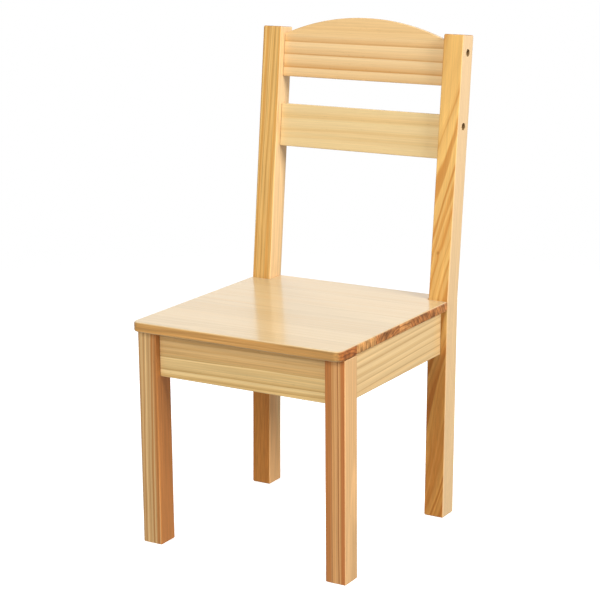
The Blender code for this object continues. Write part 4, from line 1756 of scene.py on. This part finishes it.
@dataclass
class Screws:
    """The cross-recessed wood screws of the slats, the corner blocks and the seat.

    Attributes:
        pitch: The rise of the thread in a turn.
        core: How thick the core is, next to the thread.
        taper: The length of the point.
        tip: How far from its axis a screw's innermost points lie.
        neck: The length of the bare neck under the head, where the thread fades out.
        slat_size: The height of a slat screw's head, and the radius over its thread.
        block_size: The same for the screws of the corner blocks and the seat.
        pan: The head's side view, as shares of its radius and height.
        recess: The cross recess: its reach, half its arms' width, and its depth.
        crease: Edges bent more than this stay crisp, in degrees.
        columns: How many points go round.
    """

    pitch: float = 1.5 * MM
    core: float = 0.68
    taper: float = 4.5 * MM
    tip: float = 0.15 * MM
    neck: float = 1.5 * MM
    slat_size: Flat = (2.8 * MM, 2.1 * MM)
    block_size: Flat = (2.6 * MM, 1.9 * MM)
    pan: tuple[Flat, ...] = ((0.97, 0.0), (1.0, 0.08), (1.0, 0.40), (0.96, 0.68), (0.86, 0.88),
                             (0.72, 0.98), (0.60, 1.0))
    recess: Point = (2.1 * MM, 0.5 * MM, 1.5 * MM)
    crease: float = 38.0
    columns: int = 48

    def build(self) -> None:
        """Make and dress all screws."""
        material = ZincFinish("screw_zinc").build()
        for side, sign in SIDES:
            for slat in SLATS:
                self.make(f"{slat}_slat_screw_{side}", (-sign, 0.0, 0.0), self.slat_size, material)
            for end, way in ENDS:
                ways = {f"block_screw_{end}_{side}_side": (sign, 0.0, 0.0),
                        f"block_screw_{end}_{side}_cross": (0.0, way, 0.0),
                        f"seat_screw_{end}_{side}": (0.0, 0.0, 1.0)}
                for node, direction in ways.items():
                    self.make(node, direction, self.block_size, material)

    def make(self, node: str, direction: Point, size: Flat, material: bpy.types.Material) -> None:
        """Make one screw: from the point up, its thread, bare neck, pan head and sunk top.

        Args:
            node: The frame's screw.
            direction: The way that it is driven.
            size: The height of its head, and the radius over its thread.
            material: Its metal.
        """
        head, shank = size
        low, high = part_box(node)
        rim = min(high - low) / 2
        total = 2 * half_length(node, direction)
        seat = total - head
        rises, thread = self.thread(seat - self.neck, shank)
        bare = np.array([(shank * 0.8, seat - 1.4 * MM), (shank * 0.8, seat - 0.05 * MM),
                         (shank, seat)])
        shape = np.concatenate([bare, np.array(self.pan) * (rim, head) + (0.0, seat)])
        inner = np.linspace(rim * 0.57, self.tip, 12)
        radii = np.concatenate([thread, self.all_round(shape[:, 0]), self.all_round(inner)])
        levels = np.concatenate([self.all_round(rises), self.all_round(shape[:, 1]),
                                 total - self.sunk(inner)])
        way = Vector(direction)
        tip = middle(node) + way * (total / 2)
        piece = turned(f"{node}_steel", tuple(tip), tuple(-way), radii, levels, material,
                       self.crease)
        show(piece, node)

    def all_round(self, values: np.ndarray) -> np.ndarray:
        """Return rows of a value each, which is the same at every angle."""
        return np.repeat(values[:, None], self.columns, axis=1)

    def thread(self, neck: float, shank: float) -> tuple[np.ndarray, np.ndarray]:
        """Work out the point and the thread.

        Going up from the point, the radius is the core's plus a triangle wave of the height over
        the pitch less the angle over a turn. The wave fades out at the neck.

        Args:
            neck: The height where the thread ends.
            shank: The radius over the thread.

        Returns:
            The heights, as an (n,) array, and the radii, as an (n, columns) array.
        """
        rises = np.arange(self.tip, neck, self.pitch / 6)
        turned_by = turn_angles(self.columns) / (2.0 * math.pi)
        phase = (rises[:, None] / self.pitch - turned_by[None]) % 1.0
        tooth = np.clip(1.0 - np.abs(phase * 2.0 - 1.0) * 1.5, 0.0, 1.0)
        point = np.clip(rises / self.taper, 0.06, 1.0)[:, None]
        fade = np.clip((neck - rises) / self.pitch, 0.0, 1.0)[:, None]
        return rises, shank * point * (self.core + (1.0 - self.core) * tooth * fade)

    def sunk(self, radii: np.ndarray) -> np.ndarray:
        """Return how deep the cross is cut at some radii.

        It is the full depth where the lesser of x and y is under half an arm's width and the
        greater is within reach, and it falls to 0 over a short slope.

        Args:
            radii: The radii, as an (n,) array.

        Returns:
            The depths, as an (n, columns) array.
        """
        reach, arm, depth = self.recess
        turns = turn_angles(self.columns)
        x, y = np.abs(radii[:, None] * np.cos(turns)), np.abs(radii[:, None] * np.sin(turns))
        return depth * (np.clip((arm - np.minimum(x, y)) / (0.12 * MM) + 0.5, 0.0, 1.0)
                        * np.clip((reach - np.maximum(x, y)) / (0.25 * MM), 0.0, 1.0))


# ---------------------------------------------------------------------------------------------
# The studio
# ---------------------------------------------------------------------------------------------


@dataclass(frozen=True)
class SoftLight:
    """A rectangular studio light, which shiny surfaces don't mirror.

    Attributes:
        name: The lamp's name.
        place: Where it hangs.
        size: Its width and height.
        watts: Its power.
        aim: The point it faces.
    """

    name: str
    place: Point
    size: Flat
    watts: float
    aim: Point = (0.0, 0.0, 0.25)

    def build(self) -> None:
        """Hang the light and aim it."""
        data = bpy.data.lights.new(self.name, "AREA")
        data.shape = "RECTANGLE"
        data.size, data.size_y = self.size
        data.energy = self.watts
        lamp = bpy.data.objects.new(self.name, data)
        lamp.location = self.place
        away = Vector(self.place) - Vector(self.aim)
        lamp.rotation_euler = away.to_track_quat("Z", "Y").to_euler()
        lamp.visible_glossy = False
        bpy.context.scene.collection.objects.link(lamp)


@dataclass
class Studio:
    """A pale floor, soft lights and the camera.

    Attributes:
        azimuth: How far right of the chair's front the camera stands, in degrees.
        elevation: How high it looks down from, in degrees.
        roll: How far it is turned about its view, in degrees.
        target: The point it looks at; Y is from the legs' front faces.
        distance: The distance to that point.
        focal: The lens's focal length over the frame's width.
        ambient: The brightness of the surroundings for matt surfaces, from below and from above.
        gloss: The brightness that shiny surfaces mirror, except from behind the chair.
        lights: The lamps.
        floor_radius: How far the floor reaches.
        floor_columns: How many points go round its edge.
        floor_glow: How brightly it shines by itself.
    """

    azimuth: float = 30.97
    elevation: float = 13.89
    roll: float = -0.5055
    target: Point = (23.8 * MM, 100 * MM, 300.5 * MM)
    distance: float = 2.121
    focal: float = 2.9983
    ambient: Flat = (0.57, 0.15)
    gloss: float = 0.12
    floor_radius: float = 1.6
    floor_columns: int = 96
    floor_glow: float = 0.55
    lights: tuple[SoftLight, ...] = (
        SoftLight("front_softbox", (-0.10, -3.20, 1.95), (1.8, 1.8), 84.0),
        SoftLight("right_softbox", (3.00, -0.44, 2.10), (1.2, 1.2), 104.0),
        SoftLight("back_softbox", (-2.30, 2.60, 1.20), (1.8, 1.8), 75.0),
    )

    def build(self) -> None:
        """Set up the whole studio."""
        bpy.context.scene.view_settings.view_transform = "Standard"
        self.build_camera()
        self.build_surroundings()
        self.build_floor()
        for light in self.lights:
            light.build()

    def build_camera(self) -> None:
        """Place the camera on a sphere round its target."""
        scene = bpy.context.scene
        data = bpy.data.cameras.new("camera")
        data.sensor_width = 36.0
        data.lens = self.focal * data.sensor_width
        camera = bpy.data.objects.new("camera", data)
        turn, tilt = math.radians(self.azimuth), math.radians(self.elevation)
        aim = Vector(self.target) + Vector((0.0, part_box("front_leg_left")[0].y, 0.0))
        back = Vector((math.sin(turn) * math.cos(tilt), -math.cos(turn) * math.cos(tilt),
                       math.sin(tilt)))
        facing = Euler((math.pi / 2 - tilt, 0.0, turn)).to_matrix()
        facing = facing @ Matrix.Rotation(math.radians(self.roll), 3, "Z")
        camera.matrix_world = Matrix.Translation(aim + back * self.distance) @ facing.to_4x4()
        scene.collection.objects.link(camera)
        scene.camera = camera

    def build_surroundings(self) -> None:
        """Make the surroundings white to look at, and dimmer as a light on matt surfaces."""
        world = bpy.data.worlds.new("surroundings")
        graph = Graph(world)
        matt = graph.number("ShaderNodeLightPath", {}, {}, "Is Diffuse Ray")
        seen = graph.number("ShaderNodeLightPath", {}, {}, "Is Camera Ray")
        direction = graph.vector("ShaderNodeTexCoord", {}, {}, "Generated")
        _, back, height = graph.axes(direction)
        below, above = self.ambient
        soft = height.smooth(-0.5, 0.7) * (above - below) + below
        bright = back.smooth(-0.1, 0.6) * height.smooth(-0.3, 0.1)
        gloss = bright * (1.0 - self.gloss) + self.gloss
        strength = matt * (soft - gloss) + gloss
        strength = seen * (1.0 - strength) + strength
        inputs = {"Color": (1.0, 1.0, 1.0, 1.0), "Strength": strength}
        light = graph.node("ShaderNodeBackground", {}, inputs)
        graph.node("ShaderNodeOutputWorld", {}, {"Surface": light.outputs[0]})
        bpy.context.scene.world = world

    def build_floor(self) -> None:
        """Lay a round pale floor that fades into the surroundings."""
        turns = turn_angles(self.floor_columns)
        ring = np.stack([np.cos(turns), np.sin(turns), np.zeros_like(turns)], axis=1)
        mesh = bpy.data.meshes.new("studio_floor")
        mesh.from_pydata((ring * self.floor_radius).tolist(), [], [list(range(len(turns)))])
        floor = bpy.data.objects.new("studio_floor", mesh)
        mesh.materials.append(self.floor_material())
        bpy.context.scene.collection.objects.link(floor)
        floor.visible_diffuse = False
        floor.visible_glossy = False

    def floor_material(self) -> bpy.types.Material:
        """Return a pale matt paper whose edge fades out, and which doesn't show from below."""
        graph = Graph.of_material("studio_paper")
        place = graph.position()
        under = graph.number("ShaderNodeNewGeometry", {}, {}, "Backfacing")
        fade = place.length().smooth(self.floor_radius, self.floor_radius * 0.25)
        return graph.finish({
            "Base Color": (0.90, 0.90, 0.90, 1.0),
            "Roughness": 0.9,
            "Specular IOR Level": 0.0,
            "Emission Color": (1.0, 1.0, 1.0, 1.0),
            "Emission Strength": self.floor_glow,
            "Alpha": fade * (1.0 - under),
        })


def write_sizes() -> None:
    """Update the view layer, so that every object's place is current."""
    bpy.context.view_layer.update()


def main() -> None:
    """Load the frame, dress the chair over it, and set up the studio."""
    logging.basicConfig(level=logging.INFO, format="%(name)s: %(message)s")
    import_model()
    for assembly in (Seat(), FrontLegs(), RearPosts(), Aprons(), BackSlats(), CornerBlocks(),
                     Dowels(), Screws(), Studio()):
        assembly.build()
        LOG.info("%s done", type(assembly).__name__)
    write_sizes()


if __name__ == "__main__":
    main()
